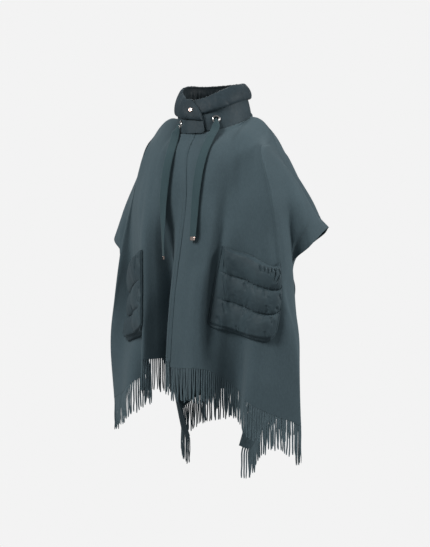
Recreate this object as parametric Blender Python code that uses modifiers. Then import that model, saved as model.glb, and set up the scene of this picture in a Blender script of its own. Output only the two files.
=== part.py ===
"""A worn poncho of felted wool: two lapped fronts and a back, a quilted collar folded over its
stand, a flat drawstring through two eyelets, quilted patch pockets and a fringe.

Metres, +Z up. The wearer would face -Y, and +X is the wearer's left. The origin lies between the
shoulders, where the cloth rests on them. The cloth is a thin wall: each panel is an open surface
through its fold lines, and Solidify gives it its thickness.
"""

import math

import bmesh
import bpy
import numpy as np
from mathutils import Matrix, Vector

# Cloth
WOOL = 0.002  # the felted wool
SEAM = 0.0004  # between two pieces that are sewn together
LAP = 0.0026  # how far the right front lies outside the left one: a wall and its gap
LAP_WIDTH = 1.8  # how far it laps over, in centimetres
SHORTER = 0.974  # the right front's closing edge against the left one's
SHORTER_FROM = 0.4  # the share of its length where that is all reached

# The neck seam: a ring that is higher at the back than at the front
NECK_RADIUS = 0.093
NECK_HEIGHT = -0.007
NECK_TILT = 0.4  # rise for each metre towards the back
NECK_SIDE = 95.0  # where the shoulder seam leaves it, in degrees from the centre front
NECK_REST = 0.006  # the flat of the cloth under the collar
SHOULDER_FLAT = 0.003  # the flat of the cloth at the shoulder seam
SHOULDER_Y = -NECK_RADIUS * math.cos(math.radians(NECK_SIDE))

# The shoulder seams from the neck to the cuff: x and z in centimetres
SHOULDER_LEFT = ((9.27, -0.38), (10.1, -0.4), (11.4, 0.0), (13.4, -0.7), (15.1, -2.2), (16.7, -4.4),
                 (18.2, -8.1), (23.6, -16.9), (29.5, -25.4), (33.2, -29.0))
SHOULDER_RIGHT = ((-9.27, -0.38), (-10.1, -0.3), (-11.4, 0.8), (-13.4, 1.3), (-15.2, 0.8), (-16.9, -0.4),
                  (-19.2, -3.0), (-22.3, -8.8), (-24.8, -15.8), (-29.0, -25.1), (-32.4, -29.2))

# Where the stations of the fold lines are, from the top of the cloth to its hem
STATIONS = (0.0, 0.14, 0.31, 0.48, 0.66, 0.84, 1.0)
ROWS = (0.0, 0.02, 0.06, 0.11, 0.165, 0.22, 0.275, 0.33, 0.385, 0.44, 0.495, 0.55, 0.605, 0.66,
        0.715, 0.77, 0.83, 0.885, 0.94, 1.0)

# The fold lines. across: centimetres over the flat cloth from the closing edge, or from the
# centre of the back. seam: where the line starts, in degrees round the neck, up to 95 on the
# fronts and 85 on the back, and past that in centimetres along the shoulder. Then a point for
# each station, in centimetres.
#  across, seam, yoke, chest, waist, pocket, low, hem
FRONT_LEFT = (
    (-LAP_WIDTH, -7, (-1.0, -13.2, -10.2), (0.9, -16.3, -21.8), (0.3, -17.2, -31.7),
     (-1.2, -17.8, -44.0), (-2.2, -17.9, -54.5), (-2.8, -17.8, -63.2)),
    (5.0, 36, (5.4, -13.2, -9.4), (6.4, -17.3, -21.4), (5.8, -18.8, -31.7),
     (4.6, -19.7, -43.8), (3.8, -20.0, -54.8), (3.2, -19.8, -63.2)),
    (9.5, 95, (10.2, -9.8, -7.0), (9.8, -15.8, -21.0), (9.6, -18.3, -31.6),
     (8.6, -19.9, -43.4), (8.2, -20.7, -54.8), (7.8, -21.0, -63.0)),
    (13.0, 99, (13.0, -8.0, -6.8), (11.8, -14.2, -21.4), (11.6, -16.4, -31.8),
     (10.4, -17.2, -43.2), (10.0, -18.0, -55.0), (10.2, -18.6, -63.6)),
    (17.0, 101.5, (15.0, -7.4, -7.6), (15.4, -13.0, -21.4), (15.0, -15.0, -32.0),
     (13.4, -14.2, -43.4), (12.6, -14.4, -55.6), (12.2, -14.2, -66.0)),
    (22.0, 103, (16.6, -7.6, -8.6), (18.8, -12.8, -21.4), (19.2, -14.2, -32.2),
     (17.9, -13.4, -43.8), (16.2, -12.8, -56.6), (15.0, -12.0, -69.0)),
    (28.0, 104.5, (18.0, -8.4, -9.0), (21.4, -12.8, -21.2), (22.8, -14.0, -32.2),
     (22.6, -14.4, -44.0), (20.6, -15.0, -57.2), (19.0, -16.2, -70.6)),
    (35.0, 106, (19.2, -9.0, -9.2), (23.4, -12.6, -20.9), (25.0, -13.0, -32.1),
     (26.2, -13.0, -44.2), (25.4, -14.0, -57.6), (23.6, -15.0, -73.0)),
    (41.0, 108, (20.4, -9.0, -9.6), (24.7, -11.6, -20.7), (26.6, -11.6, -32.0),
     (27.4, -11.0, -44.4), (30.2, -11.0, -57.6), (30.6, -9.6, -76.8)),
    (44.5, 114, (23.4, -4.6, -13.4), (26.2, -7.6, -21.8), (27.0, -8.0, -31.8),
     (27.3, -7.4, -44.8), (29.3, -8.0, -58.0), (28.9, -8.4, -78.4)),
    (47.0, 124, (29.6, -3.6, -22.6), (30.4, -7.0, -27.6), (26.9, -6.8, -35.2),
     (26.4, -4.8, -45.2), (27.8, -6.0, -58.8), (28.0, -7.8, -79.0)),
    (48.5, 133.5, (32.9, -2.0, -29.7), (31.3, -6.2, -33.4), (24.4, -3.6, -38.2),
     (25.3, -3.5, -46.0), (27.0, -4.6, -59.6), (27.7, -7.6, -79.2)),
)
FRONT_RIGHT = (
    (4.6, 30, (-4.6, -13.6, -9.8), (-2.9, -16.8, -21.2), (-3.3, -15.4, -31.4),
     (-3.9, -12.9, -43.6), (-4.4, -12.6, -53.8), (-4.9, -12.3, -61.2)),
    (9.5, 95, (-8.0, -12.4, -8.4), (-6.6, -17.0, -20.6), (-6.4, -18.2, -31.0),
     (-6.2, -17.6, -44.0), (-6.3, -17.2, -54.6), (-6.4, -16.8, -61.4)),
    (13.0, 98, (-9.8, -11.8, -8.2), (-9.3, -16.8, -20.4), (-8.9, -19.2, -31.0),
     (-8.3, -20.0, -44.6), (-8.1, -20.4, -55.2), (-8.3, -20.6, -61.6)),
    (17.0, 100.5, (-11.6, -11.0, -8.0), (-12.0, -15.4, -20.6), (-11.6, -16.8, -31.4),
     (-11.0, -17.2, -45.0), (-10.6, -16.8, -56.2), (-10.0, -16.2, -63.0)),
    (22.0, 102.5, (-13.0, -10.4, -8.2), (-14.8, -13.2, -20.6), (-14.6, -13.8, -31.8),
     (-14.2, -13.4, -45.2), (-13.4, -13.0, -57.2), (-12.0, -12.2, -65.0)),
    (28.0, 104.5, (-14.0, -10.0, -8.3), (-16.8, -11.6, -20.4), (-17.8, -10.6, -32.0),
     (-18.0, -9.4, -45.6), (-17.4, -11.6, -58.4), (-16.4, -15.0, -68.4)),
    (35.0, 106, (-15.3, -9.2, -8.2), (-18.2, -10.4, -20.2), (-21.0, -8.0, -32.2),
     (-22.2, -5.8, -46.2), (-22.8, -8.4, -59.6), (-22.4, -10.2, -71.4)),
    (41.0, 108, (-16.5, -7.8, -8.4), (-19.2, -9.6, -20.0), (-23.4, -8.6, -32.4),
     (-26.4, -7.8, -46.8), (-28.4, -6.8, -59.0), (-27.8, -6.0, -73.2)),
    (44.5, 114, (-20.6, -3.8, -11.8), (-23.0, -6.0, -22.0), (-24.6, -6.2, -33.0),
     (-26.3, -5.2, -47.0), (-27.7, -5.0, -60.0), (-27.5, -5.0, -73.5)),
    (47.0, 124, (-26.4, -3.0, -22.0), (-27.0, -4.8, -28.2), (-26.2, -5.2, -36.0),
     (-25.8, -3.8, -47.6), (-27.0, -3.8, -60.8), (-27.4, -4.4, -73.8)),
    (48.5, 133.5, (-31.2, -1.4, -30.4), (-27.2, -4.2, -33.6), (-24.2, -3.2, -38.8),
     (-25.0, -2.8, -47.6), (-26.4, -3.0, -61.2), (-27.3, -4.0, -74.0)),
)
# The back's fold lines, from the wearer's right edge to the left one
BACK_RIGHT = (
    (-48.5, 123.5, (-30.6, 3.2, -30.4), (-27.0, 3.2, -33.8), (-24.6, -2.5, -38.8),
     (-23.8, 0.8, -50.0), (-19.0, 7.6, -68.0), (-16.0, 12.8, -84.8)),
    (-46.0, 114, (-28.4, 4.4, -23.6), (-26.8, 6.6, -29.6), (-24.9, 3.6, -38.6),
     (-24.2, 5.4, -50.5), (-21.8, 11.2, -68.0), (-18.8, 13.8, -83.6)),
    (-42.0, 104, (-22.6, 6.0, -14.0), (-24.6, 9.8, -22.6), (-24.6, 8.8, -36.6),
     (-24.4, 10.6, -50.5), (-23.8, 15.0, -67.0), (-22.0, 17.4, -79.6)),
    (-35.0, 97, (-18.2, 8.6, -8.0), (-20.4, 12.8, -20.6), (-21.4, 13.4, -35.4),
     (-21.2, 15.0, -50.0), (-21.4, 18.4, -65.0), (-20.6, 21.0, -75.8)),
    (-28.0, 93.5, (-14.6, 9.8, -5.8), (-16.0, 13.6, -19.6), (-16.4, 15.6, -34.6),
     (-16.0, 17.0, -48.6), (-15.8, 18.4, -62.6), (-15.4, 19.4, -73.4)),
    (-20.0, 89, (-12.2, 9.4, -4.2), (-12.0, 13.4, -19.0), (-11.8, 13.8, -34.0),
     (-11.6, 13.6, -48.0), (-11.4, 13.4, -62.0), (-11.6, 13.2, -72.4)),
    (-13.0, 85, (-10.2, 9.6, -3.2), (-9.6, 13.8, -18.6), (-9.2, 14.6, -33.8),
     (-9.2, 15.0, -47.8), (-9.0, 15.2, -61.8), (-9.0, 15.4, -71.8)),
    (-6.5, 36, (-5.6, 12.0, -1.7), (-5.4, 14.2, -18.4), (-5.4, 15.6, -33.6),
     (-5.4, 16.4, -47.6), (-5.2, 16.8, -61.4), (-5.2, 17.0, -71.2)),
    (0.0, 0, (0.0, 12.2, -1.2), (0.0, 14.0, -18.4), (0.0, 14.4, -33.4),
     (0.0, 14.2, -47.4), (0.0, 14.2, -61.0), (0.0, 14.4, -70.4)),
)
BACK_LEFT = (
    (6.5, 36, (5.6, 12.0, -1.8), (5.2, 14.0, -18.4), (4.8, 15.2, -33.6),
     (4.8, 15.8, -47.6), (5.0, 16.4, -61.4), (5.2, 16.6, -71.4)),
    (13.0, 85, (10.2, 9.6, -3.4), (9.2, 13.4, -18.6), (8.0, 14.2, -33.8),
     (8.0, 14.4, -47.8), (8.4, 14.8, -61.8), (9.0, 15.0, -72.2)),
    (20.0, 89, (12.4, 9.2, -4.4), (11.6, 12.8, -19.0), (10.0, 13.6, -34.0),
     (10.0, 14.0, -48.2), (10.8, 14.6, -62.4), (12.4, 14.6, -73.4)),
    (28.0, 93.5, (14.3, 9.0, -6.0), (14.6, 12.8, -19.6), (13.2, 14.2, -34.8),
     (13.0, 15.0, -48.8), (13.8, 15.6, -63.4), (15.6, 13.0, -74.6)),
    (35.0, 97, (16.9, 7.0, -8.2), (18.4, 11.4, -20.4), (16.4, 11.4, -35.6),
     (15.8, 11.8, -49.2), (16.4, 11.8, -64.6), (14.6, 8.8, -76.6)),
    (42.0, 104, (21.3, 4.8, -14.0), (21.8, 8.4, -22.4), (18.8, 7.8, -36.4),
     (18.2, 7.8, -49.0), (17.6, 7.6, -65.2), (11.4, 4.6, -80.2)),
    (46.0, 114, (27.6, 3.8, -23.2), (24.8, 5.4, -29.2), (22.2, 2.6, -38.0),
     (21.8, 2.8, -48.0), (15.2, 3.2, -67.0), (9.6, 1.8, -85.0)),
    (48.5, 123.5, (30.8, 2.8, -30.0), (26.6, 2.4, -33.2), (24.4, -2.9, -38.2),
     (24.7, -2.2, -46.5), (13.8, -0.6, -66.8), (7.4, 0.2, -84.2)),
)

# How many columns of the grid lie between each two fold lines
LEFT_PARTS = (6, 2, 2, 2, 1, 2, 2, 2, 1, 1, 1)
RIGHT_PARTS = (2, 2, 2, 1, 2, 2, 2, 1, 1, 1)
CHEST_COLUMNS = (1.5, 3.0)  # two more columns between the lap and the right front's first fold
BACK_PARTS = (2, 2, 2, 2, 2, 2, 1, 1)  # from its centre to either edge

# Fringe: a narrow strip under each hem, with strands that are fused to it only at their roots
STRIP_GAP = 0.001  # between the cloth's edge and the strip
STRIP_DEEP = 0.005
STRIP_THICK = 0.0014
STRAND_LONG = 0.081
STRAND_VARIES = 0.010
STRAND_ROOT = 0.004  # in this length it narrows from its root
STRAND_LEVELS = ((0.0, 1.0), (0.5, 0.9), (1.0, 0.72))  # share of its length, share of its width
STRAND_SWAYS = 0.0005
STRAND_APART = 0.0046
STRAND_WIDE = 0.0030
STRAND_THICK = 0.0022
FRONT_STRANDS = 58
BACK_STRANDS = 116

# Collar. Its shape is given at these places round the neck, in degrees from the centre front
# towards the wearer's left, and the heights in centimetres: its rim and its fold's lower edge.
COLLAR_STEP = 12  # degrees
#            degrees, rim, lower edge
COLLAR = ((-12, 4.0, -0.2), (24, 5.0, 0.7), (48, 6.6, 1.9), (72, 8.0, 3.5), (96, 8.7, 4.7),
          (132, 9.6, 5.5), (180, 10.0, 5.7), (228, 9.7, 5.0), (264, 9.4, 3.4), (288, 8.4, 1.9),
          (312, 6.6, 0.7), (336, 5.2, -0.3), (348, 4.7, -0.8), (372, 4.4, -1.5))
COLLAR_LEAN = 0.017  # how much narrower the rim is than the neck seam
COLLAR_TILT = -0.004  # how far the rim lies to the wearer's right
STAND_THICK = 0.003
STAND_LEVELS = (0.0, 0.34, 0.67, 1.0)
ROLL_HEAD = 0.006  # how far the fold stands over the stand
# Degrees and thickness: it is pressed flat where the right end lies over it
ROLL_PADDING = ((6, 0.004), (14, 0.0042), (36, 0.0095), (340, 0.0095), (372, 0.0081))
ROLL_INSIDE = 0.0006  # how far it bulges inside the stand's inner face
# Its outside, from the rim to the lower edge: out from the stand as a share of the padding, and
# height as a share of the fold
ROLL_OUTSIDE = ((0.36, 0.96), (0.70, 0.80), (0.95, 0.58), (1.0, 0.32), (0.82, 0.10), (0.42, 0.0),
                (0.10, 0.07))
COLLAR_LAP = 0.0085  # how far outside the left end the right end lies
LIFTED_FROM, LIFTED_OVER = 322.0, 26.0  # where it starts to rise to there, and over how far
LAP_HALF = 30.0  # the lap lies less than this from the centre front
LAP_CLEAR = 0.0029  # the collar's seam over the lapped fronts
CORNER_LIFT = 0.002  # how much higher it stands over the ends of the shoulder seams
CORNER_REACH = 30.0  # degrees

# Hardware
EYELET_RING = 0.0085  # the middle of the metal ring
EYELET_WIRE = 0.0024
EYELET_HOLE = 0.0059
EYELET_CLEAR = 0.0009  # between it and the curved stand
EYELET_LEFT = (36.0, -1.0)  # degrees round the neck, height in centimetres
EYELET_RIGHT = (332.0, -1.9)
SNAP_PLACE = (359.0, 1.4)
SNAP_RADIUS = 0.0055
SNAP_THICK = 0.0022

# Drawstring: the free ends, from their eyelets down the fronts
TAPE_WIDE = 0.021
TAPE_THICK = 0.0013
TAPE_PINCHED = 0.009  # its width in the eyelet
TIP_LONG = 0.009
TIP_WIDE = 0.0155
TIP_THICK = 0.004
TAPE_LEAVES = 0.014  # its length inside the eyelet
TAPE_SPREADS = 0.040  # its length from there to its full width
TURN_LEFT, TURN_RIGHT = 34, -41  # how each lies turned in its eyelet, in degrees
TAPE_FACES = 22  # and below it, where it has spread
LOW_LEFT, LOW_RIGHT = -8, -44  # and at its end
TWISTS_FROM = 0.4  # the share of its hanging length where it starts to turn to that
TAPE_LEFT = ((0.0500, -0.0698, -0.0118), (0.0538, -0.0755, -0.0106), (0.0564, -0.0793, -0.0103),
             (0.0583, -0.0820, -0.0120), (0.0598, -0.0841, -0.0165), (0.0609, -0.0868, -0.0225),
             (0.0616, -0.0912, -0.0330), (0.0614, -0.1130, -0.0570), (0.0602, -0.1410, -0.0960),
             (0.0598, -0.1650, -0.1450), (0.0600, -0.1800, -0.2050), (0.0610, -0.1895, -0.2600),
             (0.0615, -0.1960, -0.3100))
TAPE_RIGHT = ((-0.0414, -0.0809, -0.0202), (-0.0459, -0.0861, -0.0194),
              (-0.0489, -0.0896, -0.0194), (-0.0510, -0.0920, -0.0212),
              (-0.0521, -0.0939, -0.0258), (-0.0522, -0.0962, -0.0318),
              (-0.0506, -0.1030, -0.0425), (-0.0455, -0.1210, -0.0650),
              (-0.0405, -0.1455, -0.1020), (-0.0375, -0.1665, -0.1500),
              (-0.0360, -0.1790, -0.2050), (-0.0345, -0.1850, -0.2650),
              (-0.0335, -0.1850, -0.3150), (-0.0330, -0.1850, -0.3560))

# Pockets: where they lie on the fronts, as columns and rows of the panel's own grid
# first and last column, and the mouth's and the bottom's row at each of these
POCKET_LEFT = (10, 18, (10.2, 11.1), (15.5, 16.1))
POCKET_RIGHT = (9, 16, (10.5, 10.9), (15.7, 15.9))
POCKET_CORNER = (0.35, 0.6)  # how many rows the bottom's corners are rounded by
POCKET_FLOOR = 0.0005  # clear of the cloth at its sewn edges
POCKET_MOUTH = 0.003  # and at its mouth
POCKET_EDGE = 0.006  # its thickness at the sewn edges
POCKET_PUFF = 0.024  # what the padding adds in the middle of a channel
POCKET_CHANNELS = 3
POCKET_SEAM = 0.45  # how much of the padding is left at a quilting seam
POCKET_STEPS = 4  # rows to a channel

CM = 0.01


# ---------------------------------------------------------------- curves and surfaces


def smooth_step(value):
    """0 below 0, 1 above 1, and a soft rise between."""
    value = np.clip(value, 0.0, 1.0)
    return value * value * (3.0 - 2.0 * value)


def through(knots, values, at):
    """A smooth curve through values at the knots, read at other places along it."""
    knots, values, at = (np.asarray(a, float) for a in (knots, values, at))
    slopes = np.gradient(values, knots, axis=0)
    last = np.clip(np.searchsorted(knots, at, side="right"), 1, len(knots) - 1)
    span = knots[last] - knots[last - 1]
    t = (at - knots[last - 1]) / span
    shape = (-1,) + (1,) * (values.ndim - 1)
    t, span = t.reshape(shape), span.reshape(shape)
    a, b, da, db = values[last - 1], values[last], slopes[last - 1], slopes[last]
    return ((1 + 2 * t) * (1 - t) ** 2 * a + t * (1 - t) ** 2 * span * da
            + t * t * (3 - 2 * t) * b + t * t * (t - 1) * span * db)


def along(points):
    """The length along a line of points, up to each of them."""
    steps = np.linalg.norm(np.diff(points, axis=0), axis=1)
    return np.concatenate([[0.0], np.cumsum(steps)])


def neck(degrees, radius=NECK_RADIUS):
    """A point of the neck seam's tilted ring, at degrees from the centre front."""
    angle = np.radians(degrees)
    x, y = radius * np.sin(angle), -radius * np.cos(angle)
    return np.stack([x, y, NECK_HEIGHT + NECK_TILT * y], axis=-1)


def shoulder(side, distance):
    """A point of a shoulder seam, distance metres from the neck; side is 1 on the left."""
    line = np.array(SHOULDER_LEFT if side > 0 else SHOULDER_RIGHT) * CM
    flat = through(along(line), line, distance)
    return np.stack([flat[:, 0], np.full(len(flat), SHOULDER_Y), flat[:, 1]], axis=-1)


def top_edge(side, front, places):
    """The sewn edge at the top of a panel, and the row just below it.

    places run in degrees round the neck from the centre of the panel to the shoulder seam,
    and past that in centimetres along the shoulder. The first millimetres of cloth lie flat,
    so that two sewn edges meet squarely.
    """
    places = np.asarray(places, float)
    facing = -1.0 if front else 1.0
    corner = NECK_SIDE if front else 180.0 - NECK_SIDE
    angle = places if front else 180.0 - places
    ring, outer = (neck(side * angle, NECK_RADIUS + out) for out in (0.0, NECK_REST))
    seam = shoulder(side, np.maximum(places - corner, 0.0) * CM)
    seam[:, 1] += facing * SEAM / 2
    fall = seam + np.array([0.0, facing * SHOULDER_FLAT, 0.0])
    on_neck = (places < corner)[:, None]
    first, second = np.where(on_neck, ring, seam), np.where(on_neck, outer, fall)
    at_corner = np.isclose(places, corner)
    second[at_corner, 0] += side * SHOULDER_FLAT
    return first, second


def columns(side, front, folds, across):
    """The surface through the fold lines, read at places across the cloth: rows by columns."""
    marks = [fold[0] for fold in folds]
    places = np.array([fold[1] for fold in folds], float)
    starts, _ = top_edge(side, front, places)
    lines = np.array([[start, *(np.array(fold[2:]) * CM)] for start, fold in zip(starts, folds)])
    down = through(STATIONS, lines.transpose(1, 0, 2), ROWS)
    surface = through(marks, down.transpose(1, 0, 2), across).transpose(1, 0, 2)
    first, second = top_edge(side, front, np.interp(across, marks, places))
    pulled = np.clip(1.0 - np.array(ROWS) / STATIONS[2], 0.0, 1.0)[:, None, None] ** 2
    surface = surface + pulled * (first - surface[0])
    surface[0], surface[1] = first, second
    return surface


def outward(surface, flip):
    """The unit normals of a grid surface, pointing away from the body."""
    face = np.cross(surface[1:, 1:] - surface[:-1, :-1], surface[:-1, 1:] - surface[1:, :-1])
    face /= np.linalg.norm(face, axis=2, keepdims=True)
    face = np.pad(face, ((1, 1), (1, 1), (0, 0)))
    normal = face[:-1, :-1] + face[1:, :-1] + face[:-1, 1:] + face[1:, 1:]
    normal /= np.linalg.norm(normal, axis=2, keepdims=True)
    return -normal if flip else normal


def between(folds, parts):
    """Places across the cloth, with each stretch between two fold lines cut into parts."""
    marks = [fold[0] for fold in folds]
    steps = [np.linspace(a, b, n, endpoint=False) for a, b, n in zip(marks, marks[1:], parts)]
    return np.concatenate([*steps, [marks[-1]]])


# ---------------------------------------------------------------- objects


def material(name, colour, roughness, metallic=0.0):
    """A plain material; the colour is linear."""
    made = bpy.data.materials.new(name)
    made.use_nodes = True
    shader = made.node_tree.nodes["Principled BSDF"]
    shader.inputs["Base Color"].default_value = (*colour, 1.0)
    shader.inputs["Roughness"].default_value = roughness
    shader.inputs["Metallic"].default_value = metallic
    return made


def new_object(name, mesh, look, collection):
    mesh.materials.append(look)
    made = bpy.data.objects.new(name, mesh)
    collection.objects.link(made)
    return made


def grid_mesh(name, surface, flip):
    """An open mesh of quads over a grid of points."""
    rows, cols = surface.shape[:2]
    corner = np.arange((rows - 1) * cols).reshape(rows - 1, cols)[:, :-1].ravel()
    quads = np.stack([corner, corner + cols, corner + cols + 1, corner + 1], axis=1)
    if flip:
        quads = quads[:, ::-1]
    mesh = bpy.data.meshes.new(name)
    mesh.from_pydata(surface.reshape(-1, 3).tolist(), [], quads.tolist())
    mesh.shade_smooth()
    return mesh


def shell(name, surface, flip, thick, look, collection):
    """A cloth wall: an open surface with Solidify, grown inwards."""
    made = new_object(name, grid_mesh(name, surface, flip), look, collection)
    wall = made.modifiers.new("wall", "SOLIDIFY")
    wall.thickness = thick
    wall.offset = -1.0
    return made


def block(name, under, over, flip, look, collection):
    """A closed pad between two grids of the same size, an under one and an over one."""
    rows, cols = over.shape[:2]
    bm = bmesh.new()
    layers = [[[bm.verts.new(p) for p in row] for row in grid] for grid in (over, under)]
    faces = []
    for j in range(rows - 1):
        for i in range(cols - 1):
            for grid, way in zip(layers, (1, -1)):
                faces.append([grid[j][i], grid[j + 1][i], grid[j + 1][i + 1], grid[j][i + 1]][::way])
    ring = [(0, i) for i in range(cols - 1)] + [(j, cols - 1) for j in range(rows - 1)]
    ring += [(rows - 1, i) for i in range(cols - 1, 0, -1)] + [(j, 0) for j in range(rows - 1, 0, -1)]
    for (j, i), (b, a) in zip(ring, ring[1:] + ring[:1]):
        faces.append([layers[0][j][i], layers[0][b][a], layers[1][b][a], layers[1][j][i]])
    for face in faces:
        bm.faces.new(face[::-1] if flip else face)
    mesh = bpy.data.meshes.new(name)
    bm.to_mesh(mesh)
    bm.free()
    mesh.shade_smooth()
    return new_object(name, mesh, look, collection)


# ---------------------------------------------------------------- wool


def fronts():
    """The grids of both fronts; the right one laps over the left one's closing edge."""
    left_across = between(FRONT_LEFT, LEFT_PARTS)
    lap = np.array([-LAP_WIDTH, -LAP_WIDTH / 2, 0.0])
    left_across = np.concatenate([lap, left_across[left_across > LAP_WIDTH / 2]])
    left = columns(1, True, FRONT_LEFT, left_across)
    over = (left + LAP * outward(left, False))[:, 2::-1]
    # The closing edge of the right front is shorter, so its rows sit a little higher.
    rows = np.array(ROWS)
    over = through(ROWS, over, rows * (1.0 - (1.0 - SHORTER) * smooth_step(rows / SHORTER_FROM)))

    marks, places = zip(*(fold[:2] for fold in FRONT_RIGHT))
    own = columns(-1, True, FRONT_RIGHT, np.array(marks))
    lines = np.concatenate([over, own], axis=1)
    right_across = np.concatenate([lap, CHEST_COLUMNS, between(FRONT_RIGHT, RIGHT_PARTS)])
    right = through((*lap, *marks), lines.transpose(1, 0, 2), right_across).transpose(1, 0, 2)
    sewn = right_across >= marks[0]
    right[0, sewn], right[1, sewn] = top_edge(-1, True, np.interp(right_across[sewn], marks, places))
    return left, right


def back():
    """The grid of the back, from the wearer's right edge to the left one."""
    centre = BACK_RIGHT[-1]
    right = [(-fold[0], *fold[1:]) for fold in BACK_RIGHT[::-1]]
    halves = ((-1, right), (1, (centre, *BACK_LEFT)))
    lines = [columns(side, False, folds, np.array([fold[0] for fold in folds]))
             for side, folds in halves]
    guide = np.concatenate([lines[0][:, :0:-1], lines[1]], axis=1)
    marks = [fold[0] for fold in BACK_RIGHT + BACK_LEFT]
    sides = [side * between(folds, BACK_PARTS) for side, folds in halves]
    across = np.concatenate([sides[0][:0:-1], sides[1]])
    surface = through(marks, guide.transpose(1, 0, 2), across).transpose(1, 0, 2)
    for side, folds in halves:
        mine = across * side >= 0
        places = np.interp(np.abs(across[mine]), *zip(*(fold[:2] for fold in folds)))
        surface[0, mine], surface[1, mine] = top_edge(side, False, places)
    return surface


def fringe(name, surface, flip, strands, seed, look, collection):
    """A strip under a panel's hem, and a strand drawn down out of each of its lower faces."""
    rng = np.random.default_rng(seed)
    hem = surface[-1]
    normal = outward(surface, flip)[-1]
    down = surface[-1] - surface[-2]
    run = np.gradient(hem, axis=0)
    down -= run * (np.sum(down * run, axis=1) / np.sum(run * run, axis=1))[:, None]
    down /= np.linalg.norm(down, axis=1, keepdims=True)
    length = along(hem)
    pitch = length[-1] / strands
    at = np.concatenate([*(np.linspace(a, b, max(1, round((b - a) / pitch)), endpoint=False)
                           for a, b in zip(length, length[1:])), [length[-1]]])
    strands = len(at) - 1

    def read(values):
        return np.stack([np.interp(at, length, values[:, k]) for k in range(3)], axis=1)

    hem, normal, down = read(hem), read(normal), read(down)
    inset = (WOOL - STRIP_THICK) / 2
    bm = bmesh.new()
    mark = bm.faces.layers.int.new("strand")
    corners = []
    for depth, drop in ((inset, STRIP_GAP), (inset, STRIP_DEEP), (inset + STRIP_THICK, STRIP_DEEP),
                        (inset + STRIP_THICK, STRIP_GAP)):
        corners.append([bm.verts.new(p) for p in hem - normal * depth + down * drop])
    roots = []
    for k in range(strands):
        for a, b in zip((0, 1, 2, 3), (1, 2, 3, 0)):
            face = [corners[a][k], corners[b][k], corners[b][k + 1], corners[a][k + 1]]
            made = bm.faces.new(face[::-1] if flip else face)
            if a == 1:
                made[mark] = k
                roots.append(made)
    for k, way in ((0, -1), (strands, 1)):
        end = [corners[a][k] for a in range(4)][::way]
        bm.faces.new(end[::-1] if flip else end)
    centres = np.array([face.calc_center_median() for face in roots])
    starts = centres + STRAND_ROOT * (down[1:] + down[:-1]) / 2
    kept = []
    for k, start in enumerate(starts):
        beside = np.linalg.norm((starts[kept] - start)[:, :2], axis=1)
        strip = np.linalg.norm((hem - start)[:, :2], axis=1)
        under = hem[:, 2] < start[2]
        if np.all(beside > STRAND_APART) and np.all(strip[under] > STRAND_WIDE):
            kept.append(k)
    long = STRAND_LONG + rng.uniform(-STRAND_VARIES, STRAND_VARIES, strands)
    sway = rng.uniform(-STRAND_SWAYS, STRAND_SWAYS, (3, strands, 3))
    faces = [roots[k] for k in kept]
    for level, (share, wide) in enumerate(STRAND_LEVELS):
        faces = bmesh.ops.extrude_discrete_faces(bm, faces=faces)["faces"]
        for face in faces:
            k = face[mark]
            middle = starts[k] - (0.0, 0.0, share * long[k])
            if level:
                middle = middle + sway[level, k]
            tangent = hem[k + 1] - hem[k]
            tangent[2] = 0.0
            tangent *= wide / 2 * STRAND_WIDE / np.linalg.norm(tangent)
            side = np.array([tangent[1], -tangent[0], 0.0]) * STRAND_THICK / STRAND_WIDE
            side *= np.sign(side @ (normal[k] + normal[k + 1]))
            for vert, a, b in zip(face.verts, (1, 1, -1, -1) if flip else (-1, -1, 1, 1), (1, -1, -1, 1)):
                vert.co = middle + a * tangent + b * side
    mesh = bpy.data.meshes.new(name)
    bm.to_mesh(mesh)
    bm.free()
    return new_object(name, mesh, look, collection)


# ---------------------------------------------------------------- collar


def collar_shape(degrees):
    """The rim's height, the fold's lower edge and how far out the collar lies, at each angle."""
    table = np.array(COLLAR)
    rim, lower = (through(table[:, 0], table[:, k] * CM, degrees) for k in (1, 2))
    lifted = COLLAR_LAP * smooth_step((degrees - LIFTED_FROM) / LIFTED_OVER)
    return rim, lower, lifted


def ring_point(degrees, out, height):
    """A point of the collar: out from its inner face, at a height over the whole ring."""
    foot, rim = neck(degrees)[:, 2], collar_shape(degrees)[0]
    part = np.clip((height - foot) / (rim - foot), 0.0, 1.2)
    radius = NECK_RADIUS + SEAM - COLLAR_LEAN * part ** 1.3 + out
    angle = np.radians(degrees)
    x = radius * np.sin(angle) + COLLAR_TILT * part
    return np.stack([x, -radius * np.cos(angle), height], axis=-1)


def collar_stand(look, collection):
    degrees = np.arange(COLLAR[0][0], COLLAR[-1][0] + 1, COLLAR_STEP, dtype=float)
    rim, _, lifted = collar_shape(degrees)
    near = np.minimum(degrees, 360.0 - degrees)  # how far round from the centre front
    rest = SEAM + CORNER_LIFT * np.clip(1.0 - np.abs(near - NECK_SIDE) / CORNER_REACH, 0.0, 1.0)
    rest[near < LAP_HALF] = LAP_CLEAR
    head = rim - ROLL_HEAD
    walls = []
    for out in (0.0, STAND_THICK):
        foot = neck(degrees, NECK_RADIUS + SEAM + lifted + out)[:, 2] + rest
        walls.append([ring_point(degrees, lifted + out, foot + (head - foot) * part)
                      for part in STAND_LEVELS])
    return block("collar_stand", *np.array(walls)[:, ::-1], False, look, collection)


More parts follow.
